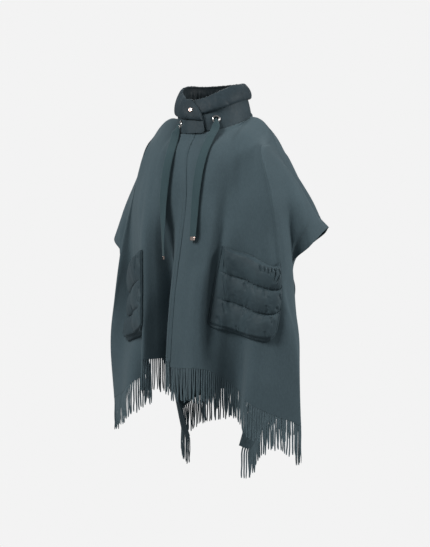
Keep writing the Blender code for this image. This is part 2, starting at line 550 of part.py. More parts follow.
def collar_roll(look, collection):
    """The padded fold, swept round the neck: down the outside from the rim, and back up inside."""
    degrees = np.arange(COLLAR[0][0], COLLAR[-1][0] + 1, COLLAR_STEP, dtype=float)
    rim, lower, lifted = collar_shape(degrees)
    thick = np.interp(degrees, *zip(*ROLL_PADDING))
    tall = rim - lower
    inner = STAND_THICK + SEAM
    head = rim - ROLL_HEAD + SEAM
    rows = [ring_point(degrees, lifted - ROLL_INSIDE / 3, head),
            ring_point(degrees, lifted - ROLL_INSIDE, head + ROLL_HEAD / 2),
            ring_point(degrees, lifted + inner / 2, rim)]
    rows += [ring_point(degrees, lifted + inner + out * thick, lower + tall * share)
             for out, share in ROLL_OUTSIDE]
    rows += [ring_point(degrees, lifted + inner, lower + tall / 4),
             ring_point(degrees, lifted + inner, head)]
    rows = np.array(rows)
    bm = bmesh.new()
    loops = [[bm.verts.new(p) for p in rows[:, k]] for k in range(len(degrees))]
    count = len(rows)
    for a, b in zip(loops, loops[1:]):
        for i in range(count):
            j = (i + 1) % count
            bm.faces.new([a[i], a[j], b[j], b[i]])
    bm.faces.new(loops[0][::-1])
    bm.faces.new(loops[-1])
    mesh = bpy.data.meshes.new("collar_roll")
    bm.to_mesh(mesh)
    bm.free()
    mesh.shade_smooth()
    return new_object("collar_roll", mesh, look, collection)


def collar_frame(degrees, height, out):
    """The place and turn of a flat piece on the collar, with its own Z pointing outwards."""
    def spot(turned, raised):
        at = np.array([float(degrees) + turned])
        return ring_point(at, out + collar_shape(at)[2], np.array([height + raised]))[0]

    centre, higher, beside = spot(0.0, 0.0), spot(0.0, 0.004), spot(2.0, 0.0)
    up, side = Vector(higher - centre).normalized(), Vector(beside - centre).normalized()
    normal = side.cross(up).normalized()
    turn = Matrix((side, normal.cross(side), normal)).transposed().to_4x4()
    return Matrix.Translation(centre) @ turn


def place(made, where):
    """Puts an object where a frame says, through its location and rotation."""
    made.location = where.to_translation()
    made.rotation_euler = where.to_euler()


# ---------------------------------------------------------------- hardware


def take(name, look, collection):
    """Names the primitive that was just added, and moves it into the collection."""
    made = bpy.context.object
    made.name = made.data.name = name
    for old in list(made.users_collection):
        old.objects.unlink(made)
    collection.objects.link(made)
    if look:
        made.data.materials.append(look)
    return made


def eyelet(name, spot, stand, look, collection, cutters):
    """A metal ring on the stand, and the hole that it lines."""
    degrees, height = spot
    out = STAND_THICK + EYELET_WIRE + EYELET_CLEAR
    bpy.ops.mesh.primitive_torus_add(major_radius=EYELET_RING, minor_radius=EYELET_WIRE,
                                     major_segments=20, minor_segments=8)
    ring = take(name, look, collection)
    where = collar_frame(degrees, height * CM, out)
    place(ring, where)
    bpy.ops.mesh.primitive_cylinder_add(vertices=12, radius=EYELET_HOLE, depth=0.02)
    cutter = take(name + "_cutter", None, cutters)
    cutter.hide_render = True
    cutter.display_type = "WIRE"
    place(cutter, where)
    hole = stand.modifiers.new(name + "_hole", "BOOLEAN")
    hole.object = cutter


def snap(look, collection):
    degrees, height = SNAP_PLACE
    out = STAND_THICK + SEAM + np.interp(degrees, *zip(*ROLL_PADDING)) + SNAP_THICK / 2 + SEAM / 2
    bpy.ops.mesh.primitive_cylinder_add(vertices=20, radius=SNAP_RADIUS, depth=SNAP_THICK)
    made = take("snap", look, collection)
    rim = made.modifiers.new("rim", "BEVEL")
    rim.width = 0.0007
    rim.segments = 2
    place(made, collar_frame(degrees, height * CM, out))


def tape(name, route, degrees, low, look, metal, collection):
    """A flat tape along its route, turned by degrees at its top and by low at its end, and its tip."""
    route = np.array(route)
    marks = along(route)
    at = np.linspace(0.0, marks[-1], 26)
    middle = through(marks, route, at)
    tangent = np.gradient(middle, axis=0)
    tangent /= np.linalg.norm(tangent, axis=1, keepdims=True)
    spread = smooth_step((at - TAPE_LEAVES) / TAPE_SPREADS)
    hangs = (at - TAPE_LEAVES) / (marks[-1] - TAPE_LEAVES)
    facing = TAPE_FACES + (low - TAPE_FACES) * smooth_step((hangs - TWISTS_FROM) / (1.0 - TWISTS_FROM))
    turn = np.radians(degrees * (1.0 - spread) + facing * spread)
    across = np.stack([np.cos(turn), np.sin(turn), np.zeros(len(at))], axis=1)
    across -= tangent * np.sum(tangent * across, axis=1, keepdims=True)
    across /= np.linalg.norm(across, axis=1, keepdims=True)
    wide = TAPE_PINCHED + (TAPE_WIDE - TAPE_PINCHED) * spread
    normal = np.cross(tangent, across)
    surface = np.stack([middle + across * (wide / 2 * k)[:, None] + normal * TAPE_THICK / 2
                        for k in (-1, 0, 1)], axis=1)
    shell(name, surface, False, TAPE_THICK, look, collection)
    bpy.ops.mesh.primitive_cube_add(size=1.0)
    tip = take(name.replace("tape", "tape_tip"), metal, collection)
    tip.scale = (TIP_WIDE, TIP_THICK, TIP_LONG)
    bpy.ops.object.transform_apply(location=False, rotation=False, scale=True)
    edge = tip.modifiers.new("edge", "BEVEL")
    edge.width = 0.0008
    edge.segments = 2
    turn = Matrix((across[-1], np.cross(-tangent[-1], across[-1]), -tangent[-1])).transposed()
    centre = middle[-1] + tangent[-1] * (TIP_LONG / 2 + SEAM)
    place(tip, Matrix.Translation(centre) @ turn.to_4x4())


# ---------------------------------------------------------------- pockets


def twisted(surface):
    """How far the flat faces of a grid can lie from its curved patches, at each of its points."""
    gap = np.linalg.norm(surface[:-1, :-1] + surface[1:, 1:] - surface[:-1, 1:] - surface[1:, :-1],
                         axis=2) / 4
    gap = np.pad(gap, 1)
    return np.maximum.reduce([gap[:-1, :-1], gap[1:, :-1], gap[:-1, 1:], gap[1:, 1:]])


def pocket(name, surface, flip, spot, look, collection):
    """A padded pocket on a front: its channels swell between the quilting seams."""
    first, last, mouth, bottom = spot
    normals = outward(surface, flip)
    cols = last - first + 1
    sideways = np.linspace(-1.0, 1.0, cols)[None, :]
    depth = np.linspace(0.0, 1.0, POCKET_STEPS * POCKET_CHANNELS + 1)[:, None]
    share = (sideways + 1.0) / 2.0
    corner = np.where(sideways < 0, *POCKET_CORNER) * np.abs(sideways) ** 5
    low = bottom[0] + (bottom[1] - bottom[0]) * share - corner
    high = mouth[0] + (mouth[1] - mouth[0]) * share
    down = high + (low - high) * depth
    rows = np.arange(len(surface))

    def read(grid):
        return np.stack([np.stack([np.interp(down[:, i], rows, grid[:, first + i, k])
                                   for i in range(cols)], axis=1) for k in range(3)], axis=2)

    base, normal = read(surface), read(normals)
    clear = read(twisted(surface)[:, :, None].repeat(3, axis=2))[:, :, 0]
    padded = (1.0 - np.abs(sideways) ** 3.0) ** 0.6
    in_channel = np.abs(np.sin(np.pi * POCKET_CHANNELS * depth))
    swell = POCKET_SEAM + (1.0 - POCKET_SEAM) * in_channel ** 0.8
    ends = smooth_step(depth / 0.06 + 0.45) * smooth_step((1.0 - depth) / 0.10)
    over = POCKET_EDGE + POCKET_PUFF * padded * swell * ends
    under = POCKET_FLOOR + clear + (POCKET_MOUTH - POCKET_FLOOR) * padded * smooth_step(1.0 - depth * 3.0)
    top, floor = base + normal * (under + over)[:, :, None], base + normal * under[:, :, None]
    return block(name, floor, top, flip, look, collection)


# ---------------------------------------------------------------- the whole


def main():
    for old in list(bpy.data.objects):
        bpy.data.objects.remove(old)
    scene = bpy.context.scene.collection
    parts, cutters = (bpy.data.collections.new(n) for n in ("poncho", "cutters"))
    scene.children.link(parts)
    scene.children.link(cutters)

    wool = material("felted wool", (0.075, 0.098, 0.108), 0.95)
    nylon = material("quilted nylon", (0.060, 0.082, 0.092), 0.55)
    ribbon = material("ribbed tape", (0.045, 0.090, 0.098), 0.80)
    metal = material("polished metal", (0.75, 0.73, 0.70), 0.22, 1.0)

    left, right = fronts()
    rear = back()
    shell("front_left", left, False, WOOL, wool, parts)
    shell("front_right", right, True, WOOL, wool, parts)
    shell("back", rear, True, WOOL, wool, parts)
    fringe("fringe_left", left[:, 2:], False, FRONT_STRANDS, 1, wool, parts)
    fringe("fringe_right", right, True, FRONT_STRANDS, 2, wool, parts)
    fringe("fringe_back", rear, True, BACK_STRANDS, 3, wool, parts)

    stand = collar_stand(nylon, parts)
    collar_roll(nylon, parts)
    eyelet("eyelet_left", EYELET_LEFT, stand, metal, parts, cutters)
    eyelet("eyelet_right", EYELET_RIGHT, stand, metal, parts, cutters)
    snap(metal, parts)
    tape("tape_left", TAPE_LEFT, TURN_LEFT, LOW_LEFT, ribbon, metal, parts)
    tape("tape_right", TAPE_RIGHT, TURN_RIGHT, LOW_RIGHT, ribbon, metal, parts)
    pocket("pocket_left", left, False, POCKET_LEFT, nylon, parts)
    pocket("pocket_right", right, True, POCKET_RIGHT, nylon, parts)


main()
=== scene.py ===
"""The finished look of a worn poncho of felted wool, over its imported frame.

Metres, +Z up; the wearer would face -Y, and +X is the wearer's left. The origin lies between the
shoulders. Every surface is a function of two parameters, worked out as whole numpy arrays: the
cloth runs through the same fold lines as the frame's solids, on a much finer grid, and creases,
hems and padding are moves along its normals.
"""

import math

import bmesh
import bpy
import numpy as np
from mathutils import Matrix, Vector


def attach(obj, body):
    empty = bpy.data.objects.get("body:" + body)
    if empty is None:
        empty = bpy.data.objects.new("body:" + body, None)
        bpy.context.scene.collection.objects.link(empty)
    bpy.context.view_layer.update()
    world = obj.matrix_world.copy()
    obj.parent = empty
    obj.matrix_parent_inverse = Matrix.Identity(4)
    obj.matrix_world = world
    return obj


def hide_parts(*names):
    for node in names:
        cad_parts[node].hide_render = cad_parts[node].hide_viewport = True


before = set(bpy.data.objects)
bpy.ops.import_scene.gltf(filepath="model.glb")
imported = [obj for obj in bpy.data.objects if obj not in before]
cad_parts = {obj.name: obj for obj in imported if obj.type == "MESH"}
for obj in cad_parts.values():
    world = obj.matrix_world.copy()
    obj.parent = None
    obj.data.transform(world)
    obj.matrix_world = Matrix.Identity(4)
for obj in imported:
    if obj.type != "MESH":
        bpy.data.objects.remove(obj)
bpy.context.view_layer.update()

# ---------------------------------------------------------------- sizes

CM = 0.01
MM = 0.001
BODY = "root"

# Cloth
WOOL = 0.002  # the felted wool
RIM_ANGLE = math.radians(55.0)  # corners sharper than this aren't shaded round
PRESSED, PRESSED_OVER = 0.0015, 0.45  # the closing edge is pressed thinner, over centimetres
SIDE_EDGE = 48.5  # centimetres from the closing edge, or from the back's centre, to a side edge
SEAM = 0.0004  # between two pieces that are sewn together
LAP = 0.0026  # how far the right front lies outside the left one
LAP_WIDTH = 1.8  # how far it laps over, in centimetres
LAP_BESIDE = 1.6  # and one more column of the left front beside that, for its normals
SHORTER = 0.974  # the right front's closing edge against the left one's
SHORTER_FROM = 0.4  # the share of its length where that is all reached

# The neck seam: a ring that is higher at the back than at the front
NECK_RADIUS = 0.093
NECK_HEIGHT = -0.007  # of its middle
NECK_TILT = 0.4  # how far it rises for each metre towards the back
NECK_SIDE = 95.0  # where the shoulder seam leaves it, in degrees from the centre front
NECK_REST = 0.006  # how wide the cloth lies flat beside it
SHOULDER_FLAT = 0.003  # and beside a shoulder seam
SHOULDER_Y = -NECK_RADIUS * math.cos(math.radians(NECK_SIDE))

# The shoulder seams from the neck to the cuff: x and z in centimetres
SHOULDER_LEFT = ((9.27, -0.38), (10.1, -0.4), (11.4, 0.0), (13.4, -0.7), (15.1, -2.2), (16.7, -4.4),
                 (18.2, -8.1), (23.6, -16.9), (29.5, -25.4), (33.2, -29.0))
SHOULDER_RIGHT = ((-9.27, -0.38), (-10.1, -0.3), (-11.4, 0.8), (-13.4, 1.3), (-15.2, 0.8),
                  (-16.9, -0.4), (-19.2, -3.0), (-22.3, -8.8), (-24.8, -15.8), (-29.0, -25.1),
                  (-32.4, -29.2))

# Where the stations of the fold lines are, from the top of the cloth to its hem
STATIONS = (0.0, 0.14, 0.31, 0.48, 0.66, 0.84, 1.0)
# The rows of the frame's own grid, which say where the pockets are
FRAME_ROWS = (0.0, 0.02, 0.06, 0.11, 0.165, 0.22, 0.275, 0.33, 0.385, 0.44, 0.495, 0.55, 0.605, 0.66,
              0.715, 0.77, 0.83, 0.885, 0.94, 1.0)

# The fold lines. across: centimetres over the flat cloth from the closing edge, or from the
# centre of the back. seam: where the line starts, in degrees round the neck, up to 95 on the
# fronts and 85 on the back, and past that in centimetres along the shoulder. Then a point for
# each station, in centimetres.
#  across, seam, yoke, chest, waist, pocket, low, hem
FRONT_LEFT = (
    (-LAP_WIDTH, -7, (-1.0, -13.2, -10.2), (0.9, -16.3, -21.8), (0.3, -17.2, -31.7),
     (-1.2, -17.8, -44.0), (-2.2, -17.9, -54.5), (-2.8, -17.8, -63.2)),
    (5.0, 36, (5.4, -13.2, -9.4), (6.4, -17.3, -21.4), (5.8, -18.8, -31.7),
     (4.6, -19.7, -43.8), (3.8, -20.0, -54.8), (3.2, -19.8, -63.2)),
    (9.5, 95, (10.2, -9.8, -7.0), (9.8, -15.8, -21.0), (9.6, -18.3, -31.6),
     (8.6, -19.9, -43.4), (8.2, -20.7, -54.8), (7.8, -21.0, -63.0)),
    (13.0, 99, (13.0, -8.0, -6.8), (11.8, -14.2, -21.4), (11.6, -16.4, -31.8),
     (10.4, -17.2, -43.2), (10.0, -18.0, -55.0), (10.2, -18.6, -63.6)),
    (17.0, 101.5, (15.0, -7.4, -7.6), (15.4, -13.0, -21.4), (15.0, -15.0, -32.0),
     (13.4, -14.2, -43.4), (12.6, -14.4, -55.6), (12.2, -14.2, -66.0)),
    (22.0, 103, (16.6, -7.6, -8.6), (18.8, -12.8, -21.4), (19.2, -14.2, -32.2),
     (17.9, -13.4, -43.8), (16.2, -12.8, -56.6), (15.0, -12.0, -69.0)),
    (28.0, 104.5, (18.0, -8.4, -9.0), (21.4, -12.8, -21.2), (22.8, -14.0, -32.2),
     (22.6, -14.4, -44.0), (20.6, -15.0, -57.2), (19.0, -16.2, -70.6)),
    (35.0, 106, (19.2, -9.0, -9.2), (23.4, -12.6, -20.9), (25.0, -13.0, -32.1),
     (26.2, -13.0, -44.2), (25.4, -14.0, -57.6), (23.6, -15.0, -73.0)),
    (41.0, 108, (20.4, -9.0, -9.6), (24.7, -11.6, -20.7), (26.6, -11.6, -32.0),
     (27.4, -11.0, -44.4), (30.2, -11.0, -57.6), (30.6, -9.6, -76.8)),
    (44.5, 114, (23.4, -4.6, -13.4), (26.2, -7.6, -21.8), (27.0, -8.0, -31.8),
     (27.3, -7.4, -44.8), (29.3, -8.0, -58.0), (28.9, -8.4, -78.4)),
    (47.0, 124, (29.6, -3.6, -22.6), (30.4, -7.0, -27.6), (26.9, -6.8, -35.2),
     (26.4, -4.8, -45.2), (27.8, -6.0, -58.8), (28.0, -7.8, -79.0)),
    (48.5, 133.5, (32.9, -2.0, -29.7), (31.3, -6.2, -33.4), (24.4, -3.6, -38.2),
     (25.3, -3.5, -46.0), (27.0, -4.6, -59.6), (27.7, -7.6, -79.2)),
)
FRONT_RIGHT = (
    (4.6, 30, (-4.6, -13.6, -9.8), (-2.9, -16.8, -21.2), (-3.3, -15.4, -31.4),
     (-3.9, -12.9, -43.6), (-4.4, -12.6, -53.8), (-4.9, -12.3, -61.2)),
    (9.5, 95, (-8.0, -12.4, -8.4), (-6.6, -17.0, -20.6), (-6.4, -18.2, -31.0),
     (-6.2, -17.6, -44.0), (-6.3, -17.2, -54.6), (-6.4, -16.8, -61.4)),
    (13.0, 98, (-9.8, -11.8, -8.2), (-9.3, -16.8, -20.4), (-8.9, -19.2, -31.0),
     (-8.3, -20.0, -44.6), (-8.1, -20.4, -55.2), (-8.3, -20.6, -61.6)),
    (17.0, 100.5, (-11.6, -11.0, -8.0), (-12.0, -15.4, -20.6), (-11.6, -16.8, -31.4),
     (-11.0, -17.2, -45.0), (-10.6, -16.8, -56.2), (-10.0, -16.2, -63.0)),
    (22.0, 102.5, (-13.0, -10.4, -8.2), (-14.8, -13.2, -20.6), (-14.6, -13.8, -31.8),
     (-14.2, -13.4, -45.2), (-13.4, -13.0, -57.2), (-12.0, -12.2, -65.0)),
    (28.0, 104.5, (-14.0, -10.0, -8.3), (-16.8, -11.6, -20.4), (-17.8, -10.6, -32.0),
     (-18.0, -9.4, -45.6), (-17.4, -11.6, -58.4), (-16.4, -15.0, -68.4)),
    (35.0, 106, (-15.3, -9.2, -8.2), (-18.2, -10.4, -20.2), (-21.0, -8.0, -32.2),
     (-22.2, -5.8, -46.2), (-22.8, -8.4, -59.6), (-22.4, -10.2, -71.4)),
    (41.0, 108, (-16.5, -7.8, -8.4), (-19.2, -9.6, -20.0), (-23.4, -8.6, -32.4),
     (-26.4, -7.8, -46.8), (-28.4, -6.8, -59.0), (-27.8, -6.0, -73.2)),
    (44.5, 114, (-20.6, -3.8, -11.8), (-23.0, -6.0, -22.0), (-24.6, -6.2, -33.0),
     (-26.3, -5.2, -47.0), (-27.7, -5.0, -60.0), (-27.5, -5.0, -73.5)),
    (47.0, 124, (-26.4, -3.0, -22.0), (-27.0, -4.8, -28.2), (-26.2, -5.2, -36.0),
     (-25.8, -3.8, -47.6), (-27.0, -3.8, -60.8), (-27.4, -4.4, -73.8)),
    (48.5, 133.5, (-31.2, -1.4, -30.4), (-27.2, -4.2, -33.6), (-24.2, -3.2, -38.8),
     (-25.0, -2.8, -47.6), (-26.4, -3.0, -61.2), (-27.3, -4.0, -74.0)),
)
# The back's fold lines, from the wearer's right edge to the left one
BACK_RIGHT = (
    (-48.5, 123.5, (-30.6, 3.2, -30.4), (-27.0, 3.2, -33.8), (-24.6, -2.5, -38.8),
     (-23.8, 0.8, -50.0), (-19.0, 7.6, -68.0), (-16.0, 12.8, -84.8)),
    (-46.0, 114, (-28.4, 4.4, -23.6), (-26.8, 6.6, -29.6), (-24.9, 3.6, -38.6),
     (-24.2, 5.4, -50.5), (-21.8, 11.2, -68.0), (-18.8, 13.8, -83.6)),
    (-42.0, 104, (-22.6, 6.0, -14.0), (-24.6, 9.8, -22.6), (-24.6, 8.8, -36.6),
     (-24.4, 10.6, -50.5), (-23.8, 15.0, -67.0), (-22.0, 17.4, -79.6)),
    (-35.0, 97, (-18.2, 8.6, -8.0), (-20.4, 12.8, -20.6), (-21.4, 13.4, -35.4),
     (-21.2, 15.0, -50.0), (-21.4, 18.4, -65.0), (-20.6, 21.0, -75.8)),
    (-28.0, 93.5, (-14.6, 9.8, -5.8), (-16.0, 13.6, -19.6), (-16.4, 15.6, -34.6),
     (-16.0, 17.0, -48.6), (-15.8, 18.4, -62.6), (-15.4, 19.4, -73.4)),
    (-20.0, 89, (-12.2, 9.4, -4.2), (-12.0, 13.4, -19.0), (-11.8, 13.8, -34.0),
     (-11.6, 13.6, -48.0), (-11.4, 13.4, -62.0), (-11.6, 13.2, -72.4)),
    (-13.0, 85, (-10.2, 9.6, -3.2), (-9.6, 13.8, -18.6), (-9.2, 14.6, -33.8),
     (-9.2, 15.0, -47.8), (-9.0, 15.2, -61.8), (-9.0, 15.4, -71.8)),
    (-6.5, 36, (-5.6, 12.0, -1.7), (-5.4, 14.2, -18.4), (-5.4, 15.6, -33.6),
     (-5.4, 16.4, -47.6), (-5.2, 16.8, -61.4), (-5.2, 17.0, -71.2)),
    (0.0, 0, (0.0, 12.2, -1.2), (0.0, 14.0, -18.4), (0.0, 14.4, -33.4),
     (0.0, 14.2, -47.4), (0.0, 14.2, -61.0), (0.0, 14.4, -70.4)),
)
BACK_LEFT = (
    (6.5, 36, (5.6, 12.0, -1.8), (5.2, 14.0, -18.4), (4.8, 15.2, -33.6),
     (4.8, 15.8, -47.6), (5.0, 16.4, -61.4), (5.2, 16.6, -71.4)),
    (13.0, 85, (10.2, 9.6, -3.4), (9.2, 13.4, -18.6), (8.0, 14.2, -33.8),
     (8.0, 14.4, -47.8), (8.4, 14.8, -61.8), (9.0, 15.0, -72.2)),
    (20.0, 89, (12.4, 9.2, -4.4), (11.6, 12.8, -19.0), (10.0, 13.6, -34.0),
     (10.0, 14.0, -48.2), (10.8, 14.6, -62.4), (12.4, 14.6, -73.4)),
    (28.0, 93.5, (14.3, 9.0, -6.0), (14.6, 12.8, -19.6), (13.2, 14.2, -34.8),
     (13.0, 15.0, -48.8), (13.8, 15.6, -63.4), (15.6, 13.0, -74.6)),
    (35.0, 97, (16.9, 7.0, -8.2), (18.4, 11.4, -20.4), (16.4, 11.4, -35.6),
     (15.8, 11.8, -49.2), (16.4, 11.8, -64.6), (14.6, 8.8, -76.6)),
    (42.0, 104, (21.3, 4.8, -14.0), (21.8, 8.4, -22.4), (18.8, 7.8, -36.4),
     (18.2, 7.8, -49.0), (17.6, 7.6, -65.2), (11.4, 4.6, -80.2)),
    (46.0, 114, (27.6, 3.8, -23.2), (24.8, 5.4, -29.2), (22.2, 2.6, -38.0),
     (21.8, 2.8, -48.0), (15.2, 3.2, -67.0), (9.6, 1.8, -85.0)),
    (48.5, 123.5, (30.8, 2.8, -30.0), (26.6, 2.4, -33.2), (24.4, -2.9, -38.2),
     (24.7, -2.2, -46.5), (13.8, -0.6, -66.8), (7.4, 0.2, -84.2)),
)

# The fine grids of the cloth
FLAT_TOP = 0.02  # the share of the length that lies flat at the sewn edge
FLAT_GONE = 0.06  # and where that has faded out
FLAT_ROWS = 4
CLOTH_ROWS = 150
FRONT_COLUMNS = 126
BACK_COLUMNS = 230
EDGE_FINE = 1.6  # centimetres of finer columns along an edge
EDGE_COLUMNS = 12
DROP = 70.0  # a panel's length in centimetres, as the creases are measured

# Hems: a turned band along the open edges, with a line of stitches; widths in centimetres
HEM_WIDE = 1.25
HEM_SEWN = HEM_WIDE - 0.12  # from the edge to its stitches
HEM_FALLS, HEM_ROUNDED, HEM_GROOVE_WIDE = 0.18, 0.16, 0.10
HEM_AT_EDGE = 0.2  # how far the rounding has gone at the very edge
HEM_OVER = 0.03  # the share of the length below the sewn edge over which a hem begins
HEM_RAISED = 0.0002
HEM_GROOVE = 0.00025

# Creases. Centimetres across the cloth and down it, for both ends, then how far the line bows
# sideways, how wide the crease is, and how deep in millimetres; a minus sign makes a soft ridge.
CREASES_LEFT = (
    (13.5, 21, 13.2, 69, 0.0, 1.5, 14.0),
    (38.9, 12, 39.3, 43, 0.0, 0.8, 3.5),
    (8.6, 4, 10.4, 21, 0.7, 1.5, 2.0),
    (11.6, 5, 14.2, 17, -0.6, 1.1, -1.6),
    (5.2, 6, 6.6, 24, 0.5, 1.9, -1.4),
    (14.6, 9, 17.2, 30, 1.0, 1.6, 2.2),
    (21.0, 10, 24.6, 27, 1.2, 1.4, 1.5),
    (29.0, 12, 33.6, 30, 1.2, 1.8, -1.4),
    (33.4, 24, 40.2, 33, 1.0, 1.5, 1.2),
    (9.0, 40, 8.0, 57, -0.6, 2.0, -1.3),
    (20.0, 57, 22.4, 68, 0.6, 1.7, 1.5),
    (29.0, 58, 33.0, 67, -0.9, 1.9, -1.4),
    (39.6, 45, 41.8, 62, 0.8, 1.5, 1.9),
    (44.6, 40, 43.4, 55, -0.5, 1.2, -1.2),
)
CREASES_RIGHT = (
    (7.0, 4, 8.8, 19, 0.6, 1.4, -1.7),
    (10.4, 5, 12.0, 25, -0.7, 1.2, 1.9),
    (14.8, 7, 16.0, 31, 0.6, 1.5, 1.6),
    (19.6, 8, 23.8, 26, 1.3, 1.6, -1.5),
    (27.0, 9, 34.6, 25, 1.8, 1.7, 1.8),
    (35.4, 6, 42.6, 20, 1.2, 1.4, -1.5),
    (41.0, 23, 45.4, 32, 0.7, 1.1, 1.7),
    (6.0, 27, 5.0, 45, 0.5, 1.8, 1.3),
    (12.6, 36, 12.0, 55, 0.4, 1.6, -1.5),
    (17.8, 55, 19.4, 67, 0.6, 1.4, 1.6),
    (27.6, 57, 31.0, 68, -0.8, 1.8, -1.4),
    (38.4, 40, 40.6, 60, 1.0, 1.6, 1.8),
)
CREASES_BACK = (
    (-44.0, 16, -37.4, 7, 1.2, 1.5, 1.8),
    (-39.0, 26, -31.0, 11, 1.8, 1.7, -1.6),
    (-33.2, 34, -27.6, 14, -1.0, 1.4, 1.5),
    (-24.0, 8, -24.8, 33, 1.2, 1.6, 1.7),
    (-16.4, 7, -17.2, 40, -0.9, 1.8, -1.5),
    (-9.8, 5, -10.2, 27, 0.6, 1.4, 1.6),
    (-3.2, 9, -3.6, 46, 0.9, 1.9, 1.4),
    (3.4, 6, 2.6, 31, -0.5, 1.5, -1.2),
    (9.6, 5, 9.0, 42, 0.8, 1.6, 1.7),
    (16.6, 8, 16.0, 36, -0.8, 1.5, -1.5),
    (24.4, 9, 24.0, 45, 1.0, 1.7, 1.6),
    (31.0, 11, 38.6, 24, -1.4, 1.5, 1.4),
    (37.0, 7, 43.8, 18, 1.2, 1.4, -1.6),
    (-20.6, 44, -21.6, 64, 0.7, 1.6, 1.5),
    (-6.4, 48, -7.2, 66, -0.6, 1.8, -1.4),
    (12.4, 47, 12.8, 65, 0.7, 1.5, 1.5),
    (29.6, 50, 33.0, 66, 1.0, 1.7, -1.5),
    (-38.6, 42, -41.0, 60, -1.1, 1.5, 1.4),
)
# How a crease fades: the shares of its length at its start and its end, and how much is left there
CREASE_FADES = (0.35, 0.45, 0.25)
# The ridge beside a trough: its height as a share of the depth, and its place in crease widths
CREASE_RIDGE = (0.3, 1.9)
RIDGE_MOST = 3.0  # millimetres: deeper folds push the cloth beside them up no further
CROWDED = 0.45  # columns this close together leave a crease no room
CREASED_FROM, CREASED_OVER = 0.03, 0.07  # down the cloth, below the sewn edge
STILL = 0.4  # centimetres beside a quiet line where no crease is
# Slow unevenness of the whole cloth: waves across and down in centimetres, shift, millimetres
WAVES = ((13.7, 31.0, 0.4, 0.7), (-9.1, 24.0, 1.9, 0.5), (21.0, -17.0, 3.1, 0.6),
         (6.3, 41.0, 4.4, 0.3))

# Sewing: from where to where down the cloth, and the columns that a line's normals are read from
SEWN_FROM, SEWN_TO, SEWN_STEPS = 0.03, 0.997, 240
SEWN_BESIDE = 0.1
STITCH_LONG = 0.0030
STITCH_PITCH = 0.0044
STITCH_THICK = 0.00034
STITCH_FLAT = 1.3  # its width for its thickness
STITCH_SHOULDER = 0.7  # the share of its length between its drawn-in ends
STITCH_PROUD = 0.6  # how many thicknesses its middle stands up
STITCH_AHEAD = 0.0005  # how far ahead its direction is read
STITCH_LIFT = 0.0002

# Fringe: strands cut out of the cloth
STRAND_PITCH = 0.0062
STRAND_LONG = 0.0835
STRAND_VARIES = 0.0055
STRAND_WIDE = 0.0042
STRAND_THICK = 0.0015
STRAND_ROOT = 0.003  # how far up into the cloth it starts
STRAND_LEVELS = 15
STRAND_FALLS = 0.30  # the share of its length where it turns to hang straight down
FALL_ROWS = 3  # the last rows of the cloth, which say how it falls there
STRAND_FIRST = 0.75  # pitches from the hem's end to the first one
STRAND_SWAY = 0.0008
STRAND_SWAY_OUT = 1.2  # how much further it sways out of the cloth than along it
STRAND_GROWS, STRAND_STRAYS = 1.3, 1.7  # powers by which its sway and its drift grow towards its tip
STRAND_RIPPLE = 0.0002
STRAND_SWAYS = (0.7, 1.5)  # how many times along its length, from least to most
STRAND_RIPPLES = 3.1
STRAND_DRIFT = 0.0030  # how far a tip may stray to its neighbours
STRAND_JITTER = 0.0004  # and a root along the hem
STRAND_TWIST = math.radians(30.0)
STRAND_UNEVEN = (0.9, 1.08)  # the narrowest and the widest, as shares of its width
STRAND_LUMPS = (0.03, 9.0)  # a share of its width, and radians along it
# Its width and its thickness along it, as shares
STRAND_WIDTHS = ((0.0, 1.2), (0.04, 1.08), (0.12, 1.0), (0.5, 0.98), (0.96, 0.92), (1.0, 0.6))
STRAND_THINS = ((0.0, 1.0), (0.9, 0.95), (1.0, 0.5))
# Its flat rounded section: along the hem and out of the cloth
STRAND_SECTION = ((1.0, 0.0), (0.84, 0.9), (-0.84, 0.9), (-1.0, 0.0), (-0.84, -0.9), (0.84, -0.9))

# Collar. Its shape is given at these places round the neck, in degrees from the centre front
# towards the wearer's left, and the heights in centimetres: its rim and its fold's lower edge.
#            degrees, rim, lower edge
COLLAR = ((-12, 4.0, -0.2), (24, 5.0, 0.7), (48, 6.6, 1.9), (72, 8.0, 3.5), (96, 8.7, 4.7),
          (132, 9.6, 5.5), (180, 10.0, 5.7), (228, 9.7, 5.0), (264, 9.4, 3.4), (288, 8.4, 1.9),
          (312, 6.6, 0.7), (336, 5.2, -0.3), (348, 4.7, -0.8), (372, 4.4, -1.5))
COLLAR_LEAN = 0.017  # how much narrower the rim is than the neck seam
COLLAR_TILT = -0.004  # how far the rim lies to the wearer's right
STAND_THICK = 0.003
ROLL_HEAD = 0.006  # how far the fold stands over the stand
# Degrees and thickness: it is pressed flat where the right end lies over it
ROLL_PADDING = ((6, 0.004), (14, 0.0042), (36, 0.0095), (340, 0.0095), (372, 0.0081))
ROLL_INSIDE = 0.0006  # how far it bulges inside the stand's inner face
# Its outside, from the rim to the lower edge: out from the stand as a share of the padding, and
# the height as a share of what is between the lower edge and the rim
ROLL_OUTSIDE = ((0.36, 0.96), (0.70, 0.80), (0.95, 0.58), (1.0, 0.32), (0.82, 0.10), (0.42, 0.0),
                (0.10, 0.07))
COLLAR_LAP = 0.0085  # how far outside the left end the right end lies
LIFTED_FROM, LIFTED_OVER = 322.0, 26.0  # the degrees over which it moves out
LAP_HALF = 30.0  # degrees either side of the centre front where the stand clears the fronts' lap
LAP_CLEAR = 0.0029
CORNER_LIFT = 0.002  # how much higher it rests at the shoulder seams
CORNER_REACH = 30.0  # degrees
REST_EVEN = 4  # steps either way that these heights are evened over
LEAN_POWER, LEAN_MOST = 1.3, 1.2  # its lean grows by this power of its height, up to this share
END_ROUND, END_RISES, END_SHARP = 7.0, 0.007, 0.999  # its right end's lower corner: degrees, metres
COLLAR_STEPS = 420  # round the neck
